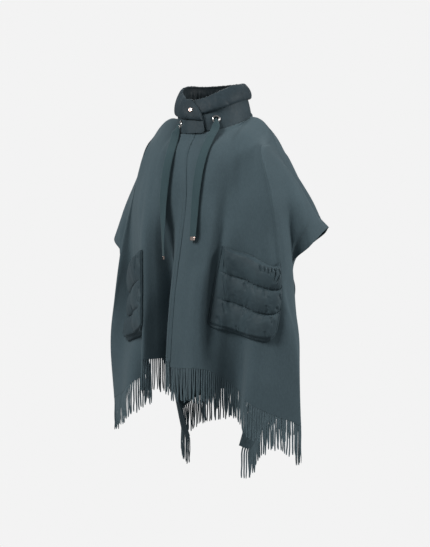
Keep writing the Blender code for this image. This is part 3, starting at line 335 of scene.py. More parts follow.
FRAME_UP, FRAME_ROUND = 0.004, 2.0  # how far off, up and round, a flat piece's turn is read
# The right end's edge is slanted: height in centimetres, and degrees further round the neck
END_SLANT = ((-3.0, 6.0), (-1.0, 4.5), (1.3, 0.0), (2.6, -5.5), (3.9, -13.0), (5.0, -17.0))
SLANT_FROM, SLANT_OVER = 326.0, 44.0
SNAP_DENT = 9.0  # degrees over which the closed snap holds the padding down
ROLL_FULLER = 0.0034  # how much fuller the padding is than the frame's solid
ROLL_STEPS = 64  # round the fold's section
STAND_STEPS = 40
ROUNDED_END = 3.2  # degrees
ROUNDED_LEAST = 0.02  # the square of the least size
ROUNDED_DOWN = 0.14  # how much of its height an end loses as well
ROLL_PLAIN_ENDS, ROLL_PLAIN_SNAP = 4.0, 5.0  # degrees that stay smooth at the ends and the snap
# Middle and width of stretches round its section, as shares: the padded outside with the rim,
# where wrinkles are, and the seams at its rim and its lower edge, where gathers are
ROLL_FREE = (0.42, 0.26)
ROLL_SEAMS = ((0.20, 0.07, 1.0), (0.70, 0.08, 0.8))
ROLL_SHADED_INSIDE = ((0.10, 0.08), (0.80, 0.10))  # where the painted shade of its inside ends, and where it starts again
ROLL_TURN = 60.0  # how many degrees a whole turn of the section counts for in a wrinkle's length
ROLL_FADES, ROLL_RIDGE = (0.3, 0.3, 0.3), (0.35, 2.0)
# Wrinkles of the fold: degrees, place round its section, both ends, width in degrees, millimetres
ROLL_CREASES = (
    (18, 0.30, 27, 0.55, 2.2, 1.0), (31, 0.22, 36, 0.50, 2.0, 0.7), (44, 0.30, 58, 0.62, 3.0, 0.9),
    (63, 0.20, 69, 0.42, 2.2, 0.8), (78, 0.34, 92, 0.60, 2.8, 1.0), (97, 0.22, 101, 0.44, 1.8, 1.1),
    (108, 0.30, 121, 0.58, 2.6, 0.8), (133, 0.22, 138, 0.48, 2.2, 0.9),
    (149, 0.34, 166, 0.60, 3.2, 0.8), (176, 0.20, 182, 0.46, 2.2, 0.9),
    (196, 0.30, 208, 0.56, 2.8, 1.0), (221, 0.22, 226, 0.46, 2.0, 0.8),
    (238, 0.32, 251, 0.60, 2.8, 0.9), (262, 0.22, 268, 0.50, 2.2, 1.0),
    (281, 0.32, 293, 0.58, 2.4, 0.9),
    (304, 0.22, 309, 0.48, 2.0, 1.0), (322, 0.28, 330, 0.60, 2.2, 0.9),
    (341, 0.24, 346, 0.44, 1.8, 0.9), (352, 0.36, 364, 0.56, 2.2, 0.8),
)
# Waves round the neck: the degrees of one, its shift or its lean in radians, millimetres
GATHERS = ((3.7, 0.2, 0.20), (6.1, 1.4, 0.34), (11.3, 2.6, 0.42))
LINING = ((15.0, 2.6, 2.0), (23.0, -2.4, 1.8), (8.3, 4.4, 1.0))
STAND_CALM = 0.2  # the share of its height under the fold where it grows smooth
ROLL_DRIFT, STAND_DRIFT = (1.7, 0.21), (2.2, 0.17)  # how uneven the gathers are: radians, and how often
STAND_SWELL, STAND_POWER = 0.0005, 0.7  # how far its outer face stands out between its seams
PUCKERS_SEAM, PUCKERS_FADE, PUCKERS_LEFT = 0.81, 0.22, 0.225  # at the neck seam, over what, above
EYELET_PLAIN = 8.0  # degrees round an eyelet where it lies flat

# Hardware
EYELET_HOLE = 0.0059
EYELET_OUT = 0.0063  # its ring's middle, from the stand's inner face
EYELET_LEFT = (36.0, -1.0)  # degrees round the neck, height in centimetres
EYELET_RIGHT = (332.0, -1.9)
PUNCH_ENDS = (-0.012, 0.008)  # from where to where the hole's cutter reaches
# Distance from its middle and height, round the closed section of the pressed metal
EYELET_SECTION = ((0.0062, -0.0068), (0.0061, -0.0035), (0.0062, -0.0012), (0.0067, -0.0003),
                  (0.0076, 0.0004), (0.0087, 0.0005), (0.0098, 0.0000), (0.0106, -0.0010),
                  (0.0109, -0.0024), (0.0108, -0.0040), (0.0098, -0.0036), (0.0074, -0.0034),
                  (0.0068, -0.0045), (0.0069, -0.0062), (0.0094, -0.0066), (0.0096, -0.0074),
                  (0.0080, -0.0078), (0.0066, -0.0076))
SNAP_PLACE = (359.0, 1.4)
# Distance and height, from the middle of its back to the middle of its cap
SNAP_SECTION = ((0.0, -0.0011), (0.0050, -0.0011), (0.0055, -0.0007), (0.0055, 0.0002),
                (0.0052, 0.0007), (0.0047, 0.0009), (0.0042, 0.0006), (0.0036, 0.0006),
                (0.0022, 0.0010), (0.0, 0.0011))
SNAP_MIDDLE = 0.0013  # its middle over the fold's own face
TURNS = 48  # round a turned piece
MEETING = 1e-6  # points of it that are closer together than this are one

# Drawstring
TAPE_WIDE = 0.021
TAPE_THICK = 0.0013
TAPE_PINCHED = 0.009  # its width in the eyelet
TAPE_LEAVES = 0.014  # how far from its start it leaves the eyelet
TAPE_SPREADS = 0.024  # and over what length it spreads to its full width
TAPE_STEPS = 260
TAPE_ACROSS = 15
TAPE_FIRM = (0.35, 0.88, 0.09)  # its selvages: how much thicker, and their middle and width across
TAPE_POWER, TAPE_LEAST = 14, 0.02  # of its rounded edges
TAPE_CROWN = 0.0007  # how far its middle stands out
TAPE_CUPPED = 0.0016  # how far its edges are bent back in the eyelet
TAPE_WAVE = (0.0005, 61.0)  # metres, radians for each metre
RIB_PITCH, SELVAGE = 0.0011, 0.10  # metres, and a share of its width, as its finish shows them
TURN_LEFT, TURN_RIGHT = 34, -41  # which way its face points in the eyelet, in degrees
TAPE_FACES = 22  # below it
LOW_LEFT, LOW_RIGHT = -8, -44  # and at its end
TWISTS_FROM = 0.4  # the share of its hanging length where that last turn starts
TAPE_EXIT = 2  # the point of its route that lies in the eyelet
TIP_LONG = 0.009
TIP_WIDE = 0.0155
TIP_THICK = 0.004
TIP_ROUND = 0.06  # the share of its length over which either end is rounded
TIP_SHRINK = 0.16  # how much smaller it is there
TIP_GROOVES, TIP_GROOVE_WIDE, TIP_GROOVE_DEEP = (0.22, 0.34), 0.035, 0.07  # as shares
TIP_LEVELS, TIP_END_LEVELS, TIP_SIDES = 30, 6, 32
TIP_EVEN = 0.08  # the share where its even middle starts
TIP_POWER = 5  # of the superellipse that its section is
TAPE_LEFT = ((0.0500, -0.0698, -0.0118), (0.0538, -0.0755, -0.0106), (0.0564, -0.0793, -0.0103),
             (0.0583, -0.0820, -0.0120), (0.0598, -0.0841, -0.0165), (0.0609, -0.0868, -0.0225),
             (0.0616, -0.0912, -0.0330), (0.0614, -0.1130, -0.0570), (0.0602, -0.1410, -0.0960),
             (0.0598, -0.1650, -0.1450), (0.0600, -0.1800, -0.2050), (0.0610, -0.1895, -0.2600),
             (0.0615, -0.1960, -0.3100))
TAPE_RIGHT = ((-0.0414, -0.0809, -0.0202), (-0.0459, -0.0861, -0.0194),
              (-0.0489, -0.0896, -0.0194), (-0.0510, -0.0920, -0.0212),
              (-0.0521, -0.0939, -0.0258), (-0.0522, -0.0962, -0.0318),
              (-0.0506, -0.1030, -0.0425), (-0.0455, -0.1210, -0.0650),
              (-0.0405, -0.1455, -0.1020), (-0.0375, -0.1665, -0.1500),
              (-0.0360, -0.1790, -0.2050), (-0.0345, -0.1850, -0.2650),
              (-0.0335, -0.1850, -0.3150), (-0.0330, -0.1850, -0.3560))

# Pockets: across the front in centimetres, the mouth's and the bottom's rows of the frame's grid at
# either side, and how many centimetres further across either bottom corner lies than the mouth's
POCKET_LEFT = ((14, 15.5, 17, 22, 25, 28, 31.5, 35, 38), (10.1, 11.1), (15.7, 16.0), (-1.2, -2.2))
POCKET_RIGHT = ((13, 15, 17, 22, 25, 28, 31.5, 35), (10.5, 10.9), (15.7, 15.9), (0.3, -0.8))
MOUTH_SAGS, MOUTH_LOWEST = 0.56, 2.6  # how many rows the mouth sags, and the power that sets where
POCKET_CORNER = (0.35, 0.6)  # how many rows the bottom's corners are rounded by
POCKET_FLOOR = 0.0011  # clear of the cloth at its sewn edges
POCKET_MOUTH = 0.003  # and at its mouth
POCKET_EDGE = 0.0045  # its thickness at the sewn edges
POCKET_THIN, POCKET_RISES = 0.12, 0.75  # its padding beside the front's fold; how far it rises over
POCKET_FULL = (7.0, 0.6)  # the powers that keep the padding full up to its sides
CORNER_POWER, LEAN_DOWN = 9, 1.5  # how sharp the bottom's corners are, and how its sides lean down
CHANNEL_FULL = 0.34  # and the one that rounds a channel
MOUTH_ROUND, MOUTH_AT_EDGE, BOTTOM_ROUND = 0.05, 0.35, 0.06  # shares of the height
MOUTH_SMOOTH = 0.02  # and of the height below the mouth where creases begin
SIDE_ROUND, SIDE_THIN = 0.03, 0.25  # a share of half the width, and of the edge's thickness
MOUTH_OPEN = 3.0  # one over the share of the height down which the mouth stands open
POCKET_PUFF = 0.018  # what the padding adds in the middle of a channel
POCKET_CHANNELS = 3
POCKET_SEAM = 0.30  # how much of the padding is left at a quilting seam
POCKET_EVEN = 16  # how many columns either way its floor's normals are evened over
MARKS_EVEN = 6  # and its own columns
POCKET_BESIDE = 3.0  # centimetres of the panel that are read beside it
PANEL_COLUMNS = 190
POCKET_COLUMNS = 150
POCKET_ROWS = 168
SEAM_WAVES = (0.035, 5.0, 1.0)  # how the quilting seams wave: channels, radians across, shift
POCKET_CREASED = 1.75  # how much deeper the creases are than in the lists
POCKET_FADES, POCKET_RIDGE = (0.25, 0.4, 0.2), (0.45, 2.1)
# Puckers along the quilting seams: radians across, shift, millimetres, and how far they reach
PUCKER_FINE, PUCKER_FINE_HIGH, PUCKER_DRIFTS = 150.0, 0.55, (3.0, 9.0)
PUCKER_BROAD, PUCKER_BROAD_HIGH, PUCKER_SHIFT = 83.0, 0.4, 2.0
PUCKER_REACH = 0.42
# The groove of the sewn edge, as shares of half the width and of the height, and in metres
POCKET_FLANGE, FLANGE_WIDE, FLANGE_DEEP = 0.045, 0.018, 0.003
FOOT_FLANGE, FOOT_WIDE = 0.030, 0.012
# Gathers and creases: across and down as shares, both ends, width as a share, millimetres
POCKET_CREASES_LEFT = (
    (0.05, 0.02, 0.16, 0.31, 0.022, 2.4), (0.03, 0.05, 0.07, 0.26, 0.018, 1.8),
    (0.12, 0.36, 0.24, 0.62, 0.020, 1.6), (0.20, 0.10, 0.32, 0.30, 0.030, 1.2),
    (0.62, 0.04, 0.66, 0.13, 0.012, 1.8), (0.67, 0.02, 0.70, 0.12, 0.011, 1.9),
    (0.72, 0.03, 0.74, 0.14, 0.011, 1.7), (0.77, 0.02, 0.78, 0.12, 0.012, 1.9),
    (0.81, 0.03, 0.84, 0.13, 0.011, 1.6), (0.86, 0.02, 0.80, 0.24, 0.014, 1.8),
    (0.92, 0.12, 0.82, 0.25, 0.015, 1.7), (0.90, 0.05, 0.95, 0.20, 0.014, 1.4),
    (0.40, 0.36, 0.46, 0.46, 0.018, 1.3), (0.56, 0.35, 0.60, 0.44, 0.016, 1.3),
    (0.70, 0.36, 0.73, 0.46, 0.018, 1.4), (0.90, 0.40, 0.97, 0.56, 0.016, 1.6),
    (0.30, 0.55, 0.34, 0.65, 0.018, 1.2), (0.52, 0.56, 0.50, 0.66, 0.016, 1.3),
    (0.76, 0.55, 0.80, 0.66, 0.018, 1.3), (0.88, 0.58, 0.94, 0.65, 0.016, 1.3),
    (0.18, 0.69, 0.25, 0.80, 0.020, 1.4), (0.44, 0.69, 0.47, 0.78, 0.018, 1.2),
    (0.64, 0.70, 0.60, 0.80, 0.018, 1.3), (0.84, 0.70, 0.90, 0.82, 0.020, 1.4),
    (0.36, 0.90, 0.38, 0.99, 0.016, 1.2), (0.60, 0.88, 0.58, 0.98, 0.018, 1.2),
    (0.82, 0.88, 0.86, 0.97, 0.018, 1.2), (0.10, 0.86, 0.20, 0.97, 0.022, 1.5),
)
# The right pocket has every second one of these, mirrored
POCKET_CREASES_RIGHT = tuple((1 - a, b, 1 - c, d, wide, deep)
                             for a, b, c, d, wide, deep in POCKET_CREASES_LEFT[::-1][::2])


# ---------------------------------------------------------------- curves and surfaces


def smooth_step(value):
    """0 below 0, 1 above 1, and the soft rise 3 value ** 2 - 2 value ** 3 between."""
    value = np.clip(value, 0.0, 1.0)
    return value * value * (3.0 - 2.0 * value)


def through(knots, values, at):
    """A smooth curve through values at the knots, read at other places along it.

    Between two knots it is the cubic that has their values, and their slopes to the next ones.
    """
    knots, values, at = (np.asarray(a, float) for a in (knots, values, at))
    slopes = np.gradient(values, knots, axis=0)
    last = np.clip(np.searchsorted(knots, at, side="right"), 1, len(knots) - 1)
    span = knots[last] - knots[last - 1]
    t = (at - knots[last - 1]) / span
    shape = (-1,) + (1,) * (values.ndim - 1)
    t, span = t.reshape(shape), span.reshape(shape)
    a, b, da, db = values[last - 1], values[last], slopes[last - 1], slopes[last]
    return ((1 + 2 * t) * (1 - t) ** 2 * a + t * (1 - t) ** 2 * span * da
            + t * t * (3 - 2 * t) * b + t * t * (t - 1) * span * db)


def bell(value, middle, width, power=2):
    """1 at the middle, falling softly on both sides: exp(-(distance / width) ** power)."""
    return np.exp(-(np.abs(value - middle) / width) ** power)


def quarter_circle(near, least=0.0):
    """The height of a quarter circle over near, which runs from 0 to 1; least is its least square."""
    return np.sqrt(np.clip(1.0 - (1.0 - np.minimum(near, 1.0)) ** 2, least, 1.0))


def evened(values, reach, **padding):
    """Values averaged over reach places either way."""
    count = 2 * reach + 1
    return np.convolve(np.pad(values, reach, **padding), np.ones(count) / count, "valid")


def along(points):
    """The length along a line of points, up to each of them."""
    steps = np.linalg.norm(np.diff(points, axis=0), axis=1)
    return np.concatenate([[0.0], np.cumsum(steps)])


def read_along(values, length, at):
    """Vectors that are given at lengths along a line, read between them."""
    return np.stack([np.interp(at, length, values[:, k]) for k in range(3)], axis=1)


def unit(vectors):
    """Vectors brought to length one."""
    return vectors / np.maximum(np.linalg.norm(vectors, axis=-1, keepdims=True), 1e-12)


def neck(degrees, radius=NECK_RADIUS):
    """A point of the neck seam's tilted ring, at degrees from the centre front."""
    angle = np.radians(degrees)
    x, y = radius * np.sin(angle), -radius * np.cos(angle)
    return np.stack([x, y, NECK_HEIGHT + NECK_TILT * y], axis=-1)


def shoulder(side, distance):
    """A point of a shoulder seam, distance metres from the neck; side is 1 on the left."""
    line = np.array(SHOULDER_LEFT if side > 0 else SHOULDER_RIGHT) * CM
    flat = through(along(line), line, distance)
    return np.stack([flat[:, 0], np.full(len(flat), SHOULDER_Y), flat[:, 1]], axis=-1)


def top_edge(side, front, places):
    """The sewn edge at the top of a panel, and the line just below it.

    places run in degrees round the neck from the panel's centre to the shoulder seam, and past
    that in centimetres along the shoulder.
    """
    places = np.asarray(places, float)
    facing = -1.0 if front else 1.0
    corner = NECK_SIDE if front else 180.0 - NECK_SIDE
    angle = places if front else 180.0 - places
    ring, outer = (neck(side * angle, NECK_RADIUS + out) for out in (0.0, NECK_REST))
    seam = shoulder(side, np.maximum(places - corner, 0.0) * CM)
    seam[:, 1] += facing * SEAM / 2
    fall = seam + np.array([0.0, facing * SHOULDER_FLAT, 0.0])
    on_neck = (places < corner)[:, None]
    near = np.clip(1.0 - np.abs(places - corner), 0.0, 1.0)
    first, second = np.where(on_neck, ring, seam), np.where(on_neck, outer, fall)
    second[:, 0] += side * SHOULDER_FLAT * near
    return first, second


def rows_of(count):
    """Places down a panel: a few in the flat top, and the rest evenly below it."""
    top, below = np.linspace(0.0, FLAT_TOP, FLAT_ROWS), np.linspace(FLAT_TOP, 1.0, count)
    return np.concatenate([top, below[1:]])


def seated(surface, rows, first, second, weight):
    """Lays the top of a surface flat between two lines, and fades that out below them.

    Down to FLAT_TOP it is the straight line from first to second; below, the surface is moved by
    what the second line is off it, times a weight that falls softly to 0 at FLAT_GONE.
    """
    at = int(np.argmin(np.abs(rows - FLAT_TOP)))
    part = np.clip(rows / FLAT_TOP, 0.0, 1.0)[:, None, None]
    gone = smooth_step((rows - FLAT_TOP) / (FLAT_GONE - FLAT_TOP))[:, None, None]
    flat = first + (second - first) * part
    lower = surface + (second - surface[at]) * (1.0 - gone)
    laid = np.where(part < 1.0, flat, lower)
    return surface + weight * (laid - surface)


def columns(side, front, folds, across, rows):
    """The surface through the fold lines, read at places across and down the cloth.

    Smooth curves run down through the stations of each line, and others across through those.
    """
    marks = [fold[0] for fold in folds]
    places = np.array([fold[1] for fold in folds], float)
    starts, _ = top_edge(side, front, places)
    lines = np.array([[start, *(np.array(fold[2:]) * CM)] for start, fold in zip(starts, folds)])
    down = through(STATIONS, lines.transpose(1, 0, 2), rows)
    surface = through(marks, down.transpose(1, 0, 2), across).transpose(1, 0, 2)
    first, second = top_edge(side, front, np.interp(across, marks, places))
    pulled = np.clip(1.0 - rows / STATIONS[2], 0.0, 1.0)[:, None, None] ** 2
    surface = surface + pulled * (first - surface[0])
    return seated(surface, rows, first, second, 1.0)


def outward(surface, flip):
    """The unit normals of a grid surface, pointing away from the body."""
    down = np.gradient(surface, axis=0)
    side = np.gradient(surface, axis=1)
    normal = unit(np.cross(down, side))
    return -normal if flip else normal


def left_front(across, rows):
    """The left front, read at places across and down it."""
    return columns(1, True, FRONT_LEFT, across, rows)


def right_front(across, rows):
    """The right front: its lap follows the left front's closing edge from outside."""
    lap = np.array([-LAP_WIDTH, -LAP_WIDTH / 2, 0.0])
    under = left_front(np.array([*lap, LAP_BESIDE]), rows)
    over = (under + LAP * outward(under, False))[:, 2::-1]
    over = through(rows, over, rows * (1.0 - (1.0 - SHORTER) * smooth_step(rows / SHORTER_FROM)))
    marks, places = zip(*(fold[:2] for fold in FRONT_RIGHT))
    own = columns(-1, True, FRONT_RIGHT, np.array(marks), rows)
    lines = np.concatenate([over, own], axis=1)
    surface = through((*lap, *marks), lines.transpose(1, 0, 2), across).transpose(1, 0, 2)
    first, second = top_edge(-1, True, np.interp(across, marks, places))
    sewn = smooth_step((across - marks[0] + LAP_WIDTH) / LAP_WIDTH)[None, :, None]
    return seated(surface, rows, first, second, sewn)


def back_panel(across, rows):
    """The back, from the wearer's right edge to the left one."""
    centre = BACK_RIGHT[-1]
    right = [(-fold[0], *fold[1:]) for fold in BACK_RIGHT[::-1]]
    halves = ((-1, right), (1, (centre, *BACK_LEFT)))
    lines = [columns(side, False, folds, np.array([fold[0] for fold in folds]), rows)
             for side, folds in halves]
    guide = np.concatenate([lines[0][:, :0:-1], lines[1]], axis=1)
    marks = [fold[0] for fold in BACK_RIGHT + BACK_LEFT]
    surface = through(marks, guide.transpose(1, 0, 2), across).transpose(1, 0, 2)
    for side, folds in halves:
        mine = across * side >= 0
        places = np.interp(np.abs(across[mine]), *zip(*(fold[:2] for fold in folds)))
        first, second = top_edge(side, False, places)
        surface[:, mine] = seated(surface[:, mine], rows, first, second, 1.0)
    return surface


def spread(start, end, count, fine_start, fine_end):
    """Places from start to end, even in the middle and closer together near a hemmed edge."""
    marks = [start, end]
    if fine_start:
        marks.insert(1, start + EDGE_FINE)
    if fine_end:
        marks.insert(-1, end - EDGE_FINE)
    counts = [EDGE_COLUMNS if fine_start else 0, count, EDGE_COLUMNS if fine_end else 0]
    counts = [n for n in counts if n]
    steps = [np.linspace(a, b, n, endpoint=False) for a, b, n in zip(marks, marks[1:], counts)]
    return np.concatenate([*steps, [end]])


def furrow(u, v, line, wide, deep, fades, ridge, bow=0.0):
    """How far a crease lowers each place: a trough along a line, with a soft ridge beside it.

    At a distance off the line the trough is deep * exp(-(off / wide) ** 2). The ridge is a second
    such bell, a few widths to one side. Both fade towards the line's ends, and the line is bowed
    sideways by a parabola.
    """
    u0, v0, u1, v1 = line
    start, end, left = fades
    high, apart = ridge
    run = np.array([u1 - u0, v1 - v0])
    size = np.hypot(*run)
    t = ((u - u0) * run[0] + (v - v0) * run[1]) / size ** 2
    off = ((u - u0) * run[1] - (v - v0) * run[0]) / size - bow * 4.0 * t * (1.0 - t)
    ends = smooth_step(t / start + left) * smooth_step((1.0 - t) / end + left)
    beside = high * min(deep, RIDGE_MOST) * bell(off, apart * wide, wide)
    return ends * (deep * bell(off, 0.0, wide) - beside)


def creased(across, rows, creases):
    """How far creases and the cloth's slow unevenness move it out, at each place, in metres."""
    u, v = np.meshgrid(across, rows * DROP)
    moved = np.zeros_like(u)
    for *line, bow, wide, deep in creases:
        moved -= furrow(u, v, line, wide, deep, CREASE_FADES, CREASE_RIDGE, bow)
    for wide, tall, shift, high in WAVES:
        moved += high * np.sin(2.0 * np.pi * (u / wide + v / tall) + shift)
    return moved * MM


def hem_band(distance):
    """A turned hem's raised band and the groove of its stitches, by centimetres from the edge."""
    band = smooth_step((HEM_WIDE - distance) / HEM_FALLS)
    rounded = smooth_step(distance / HEM_ROUNDED + HEM_AT_EDGE)
    return HEM_RAISED * band * rounded - HEM_GROOVE * bell(distance, HEM_SEWN, HEM_GROOVE_WIDE)


def worn(surface, across, rows, flip, creases, quiet, hems):
    """A panel with its creases and hems, which move it along its normals.

    quiet holds the places across where it has to lie still, each with the centimetres over which
    the creases fade, and hems the places of its turned edges.
    """
    side = np.linalg.norm(np.gradient(surface, axis=1), axis=2) / np.gradient(across) / CM
    room = smooth_step((side - CROWDED) / (1.0 - CROWDED))
    moved = creased(across, rows, creases) * room
    moved = moved * smooth_step((rows - CREASED_FROM) / CREASED_OVER)[:, None]
    for place, over in quiet:
        moved = moved * smooth_step((np.abs(across - place) - STILL) / over)
    for place in hems:
        band = hem_band(np.abs(across - place))
        moved = moved + band * smooth_step((rows - FLAT_TOP) / HEM_OVER)[:, None]
    return surface + outward(surface, flip) * moved[:, :, None]


# ---------------------------------------------------------------- pieces


def add_piece(name, points, faces, look, slot, uv=None):
    """A mesh object from points and faces, riding on the body where it has a slot."""
    mesh = bpy.data.meshes.new(name)
    mesh.from_pydata(np.asarray(points).reshape(-1, 3).tolist(), [], faces)
    mesh.shade_smooth()
    if uv is not None:
        corners = np.zeros(len(mesh.loops), int)
        mesh.loops.foreach_get("vertex_index", corners)
        layer = mesh.uv_layers.new(name="along")
        layer.data.foreach_set("uv", np.asarray(uv)[corners].ravel())
    mesh.materials.append(look)
    made = bpy.data.objects.new(name, mesh)
    bpy.context.scene.collection.objects.link(made)
    if slot:
        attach(made, BODY)
    return made


def grid_faces(rows, cols, closed=False, start=0):
    """The quads of a grid of points, row by row; closed joins its last column to its first."""
    corner = np.arange(rows * cols).reshape(rows, cols)
    beside = np.roll(corner, -1, axis=1) if closed else corner[:, 1:]
    corner = corner if closed else corner[:, :-1]
    quads = [corner[:-1], corner[1:], beside[1:], beside[:-1]]
    return start + np.stack([q.ravel() for q in quads], axis=1)


def closed_wall(name, outer, inner, flip, look, slot, uv=None):
    """A closed wall: an outer grid, an inner one, and a crisp rim of quads between their edges."""
    rows, cols = outer.shape[:2]
    number = np.arange(rows * cols).reshape(rows, cols)
    ring = np.concatenate([number[0, :-1], number[:-1, -1], number[-1, :0:-1], number[:0:-1, 0]])
    ahead = np.roll(ring, -1)
    size = rows * cols
    outside = grid_faces(rows, cols)
    inside = grid_faces(rows, cols, start=size)[:, ::-1]
    rim = np.stack([ring, ahead, ahead + size, ring + size], axis=1)
    faces = np.concatenate([outside, inside, rim])
    if flip:
        faces = faces[:, ::-1]
    made = add_piece(name, np.concatenate([outer.reshape(-1, 3), inner.reshape(-1, 3)]),
                     faces.tolist(), look, slot, uv)
    made.data.set_sharp_from_angle(angle=RIM_ANGLE)
    return made


def cloth(name, surface, across, flip, look, slot, pressed=None):
    """A wall of felt: the surface, and the same surface sunk along its normals.

    pressed is the place of an edge where the wall is pressed thin, from outside.
    """
    normal = outward(surface, flip)
    inner = surface - normal * WOOL
    if pressed is not None:
        surface = surface - normal * (PRESSED * bell(across, pressed, PRESSED_OVER))[:, None]
    return closed_wall(name, surface, inner, flip, look, slot)


def swept(name, loops, flip, look, slot, uv=None):
    """Closed loops of points joined one to the next, with both ends closed by quads."""
    count, size = loops.shape[:2]
    half = np.arange(size // 2 - 1)
    cap = np.stack([half, half + 1, size - 2 - half, size - 1 - half], axis=1)
    faces = np.concatenate([grid_faces(count, size, closed=True), cap[:, ::-1],
                            cap + (count - 1) * size])
    if flip:
        faces = faces[:, ::-1]
    return add_piece(name, loops, faces.tolist(), look, slot, uv)


def sew(name, lines, look, slot):
    """Stitches along lines, each line a pair of its points and the normals there.

    A stitch is a six-sided dash: two rings of six points, drawn to a point at either end.
    """
    middles, ways, ups = [], [], []
    for points, normals in lines:
        length = along(points)
        at = np.arange(STITCH_PITCH, length[-1] - STITCH_PITCH, STITCH_PITCH)
        here = read_along(points, length, at)
        middles.append(here)
        ways.append(unit(read_along(points, length, at + STITCH_AHEAD) - here))
        ups.append(unit(read_along(normals, length, at)))
    middle, way, up = (np.concatenate(found)[:, None, :] for found in (middles, ways, ups))
    side = unit(np.cross(way, up))
    angle = np.radians(np.arange(6) * 60.0)[None, :, None]
    ring = STITCH_THICK * (side * np.cos(angle) * STITCH_FLAT + up * (np.sin(angle) + STITCH_PROUD))
    reach = way * STITCH_LONG / 2
    points = np.concatenate([middle - reach, middle - reach * STITCH_SHOULDER + ring,
                             middle + reach * STITCH_SHOULDER + ring, middle + reach], axis=1)
    count = points.shape[1]
    k = np.arange(6)
    after = (k + 1) % 6
    first, last = np.zeros(6, int), np.full(6, count - 1)
    sides = np.stack([1 + k, 7 + k, 7 + after, 1 + after], axis=1)
    ends = np.concatenate([np.stack([first, 1 + k, 1 + after], axis=1),
                           np.stack([last, 7 + after, 7 + k], axis=1)])
    shift = np.arange(len(points))[:, None, None] * count
    faces = (sides + shift).reshape(-1, 4).tolist() + (ends + shift).reshape(-1, 3).tolist()
    return add_piece(name, points, faces, look, slot)


def strand_lines(surface, flip, skip, rng):
    """The middle lines of the strands along a panel's hem, with the run of the hem at each.

    A line starts in the cloth, follows it for a moment and turns to hang straight down, swaying by
    sines that grow towards its tip. The third value is the waves' shifts.
    """
    hem, normal = surface[-1], outward(surface, flip)[-1]
    down = unit(surface[-1] - surface[-1 - FALL_ROWS])
    length = along(hem)
    count = int((length[-1] - skip - STRAND_PITCH) / STRAND_PITCH)
    at = skip + STRAND_PITCH * (STRAND_FIRST + np.arange(count))
    at = at + rng.uniform(-STRAND_JITTER, STRAND_JITTER, count)
    start = read_along(hem, length, at)
    out, fall = (unit(read_along(values, length, at)) for values in (normal, down))
    level, straight = np.array([1.0, 1.0, 0.0]), np.array([0.0, 0.0, -1.0])
    run = unit(read_along(np.gradient(hem, axis=0), length, at) * level)
    t = np.linspace(0.0, 1.0, STRAND_LEVELS)
    hanging = smooth_step(t / STRAND_FALLS)
    own = np.concatenate([[0.0], np.cumsum((1.0 - hanging)[:-1] * np.diff(t))])[:, None, None]
    long = (STRAND_LONG + rng.uniform(-STRAND_VARIES, STRAND_VARIES, count))[None, :, None]
    line = start - out * WOOL / 2 - fall * STRAND_ROOT
    line = line + long * (own * fall + (t[:, None, None] - own) * straight)
    shift = rng.uniform(0.0, 2.0 * np.pi, (4, count))
    often = rng.uniform(*STRAND_SWAYS, (2, count))
    t = t[:, None]
    grows = t ** STRAND_GROWS
    aside = STRAND_SWAY * np.sin(2 * np.pi * often[0] * t + shift[0])
    aside = (aside + STRAND_RIPPLE * np.sin(2 * np.pi * STRAND_RIPPLES * t + shift[1])) * grows
    aside = aside + STRAND_DRIFT * rng.uniform(-1.0, 1.0, count) * t ** STRAND_STRAYS
    ahead = STRAND_SWAY * STRAND_SWAY_OUT * np.sin(2 * np.pi * often[1] * t + shift[2]) * grows
    return line + run * aside[:, :, None] + out * level * ahead[:, :, None], run, shift


def strands(name, surface, flip, skip, seed, look, slot):
    """Strands cut out of the cloth along a panel's hem: a flat rounded section along each line."""
    rng = np.random.default_rng(seed)
    line, run, shift = strand_lines(surface, flip, skip, rng)
    count = line.shape[1]
    t = np.linspace(0.0, 1.0, STRAND_LEVELS)[:, None]
    way = unit(np.gradient(line, axis=0))
    twist = (STRAND_TWIST * np.sin(shift[3]) * t)[:, :, None]
    side = unit(run - way * np.sum(way * run, axis=2, keepdims=True))
    depth = np.cross(way, side)
    side, depth = (side * np.cos(twist) + depth * np.sin(twist),
                   depth * np.cos(twist) - side * np.sin(twist))
    width = np.interp(t, *zip(*STRAND_WIDTHS)) * rng.uniform(*STRAND_UNEVEN, count)
    width = width + STRAND_LUMPS[0] * np.sin(STRAND_LUMPS[1] * t + shift[1])
    thin = np.interp(t, *zip(*STRAND_THINS))
    loops = [line + side * (a * STRAND_WIDE / 2 * width)[:, :, None]
             + depth * (b * STRAND_THICK / 2 * thin)[:, :, None] for a, b in STRAND_SECTION]
    points = np.array(loops).transpose(2, 1, 0, 3)
    sides = len(STRAND_SECTION)
    body = grid_faces(STRAND_LEVELS, sides, closed=True)[:, ::-1]
    last = (STRAND_LEVELS - 1) * sides
    caps = np.array([[0, 1, 2, 3], [0, 3, 4, 5]])
    body = np.concatenate([body, caps, caps[:, ::-1] + last])
    faces = (body[None] + np.arange(count)[:, None, None] * STRAND_LEVELS * sides).reshape(-1, 4)
    return add_piece(name, points, faces.tolist(), look, slot)


def placed(points, where):
    """Points moved and turned to a place."""
    return points @ np.array(where.to_3x3()).T + np.array(where.translation)


def turned(name, section, where, look, slot):
    """A section of distance and height, turned round the Z of a place.

    A section that starts on the axis ends there too, and any other is closed.
    """
    section = np.array(section)
    if section[0, 0] > 0.0:
        section = np.concatenate([section, section[:1]])
    angle = np.linspace(0.0, 2 * np.pi, TURNS, endpoint=False)
    distance, height = section[:, :1], section[:, 1:]
    points = np.stack([distance * np.cos(angle), distance * np.sin(angle),
                       np.repeat(height, TURNS, axis=1)], axis=2)
    faces = grid_faces(len(section), TURNS, closed=True)
    made = add_piece(name, placed(points, where), faces.tolist(), look, slot)
    close_poles(made)
    return made


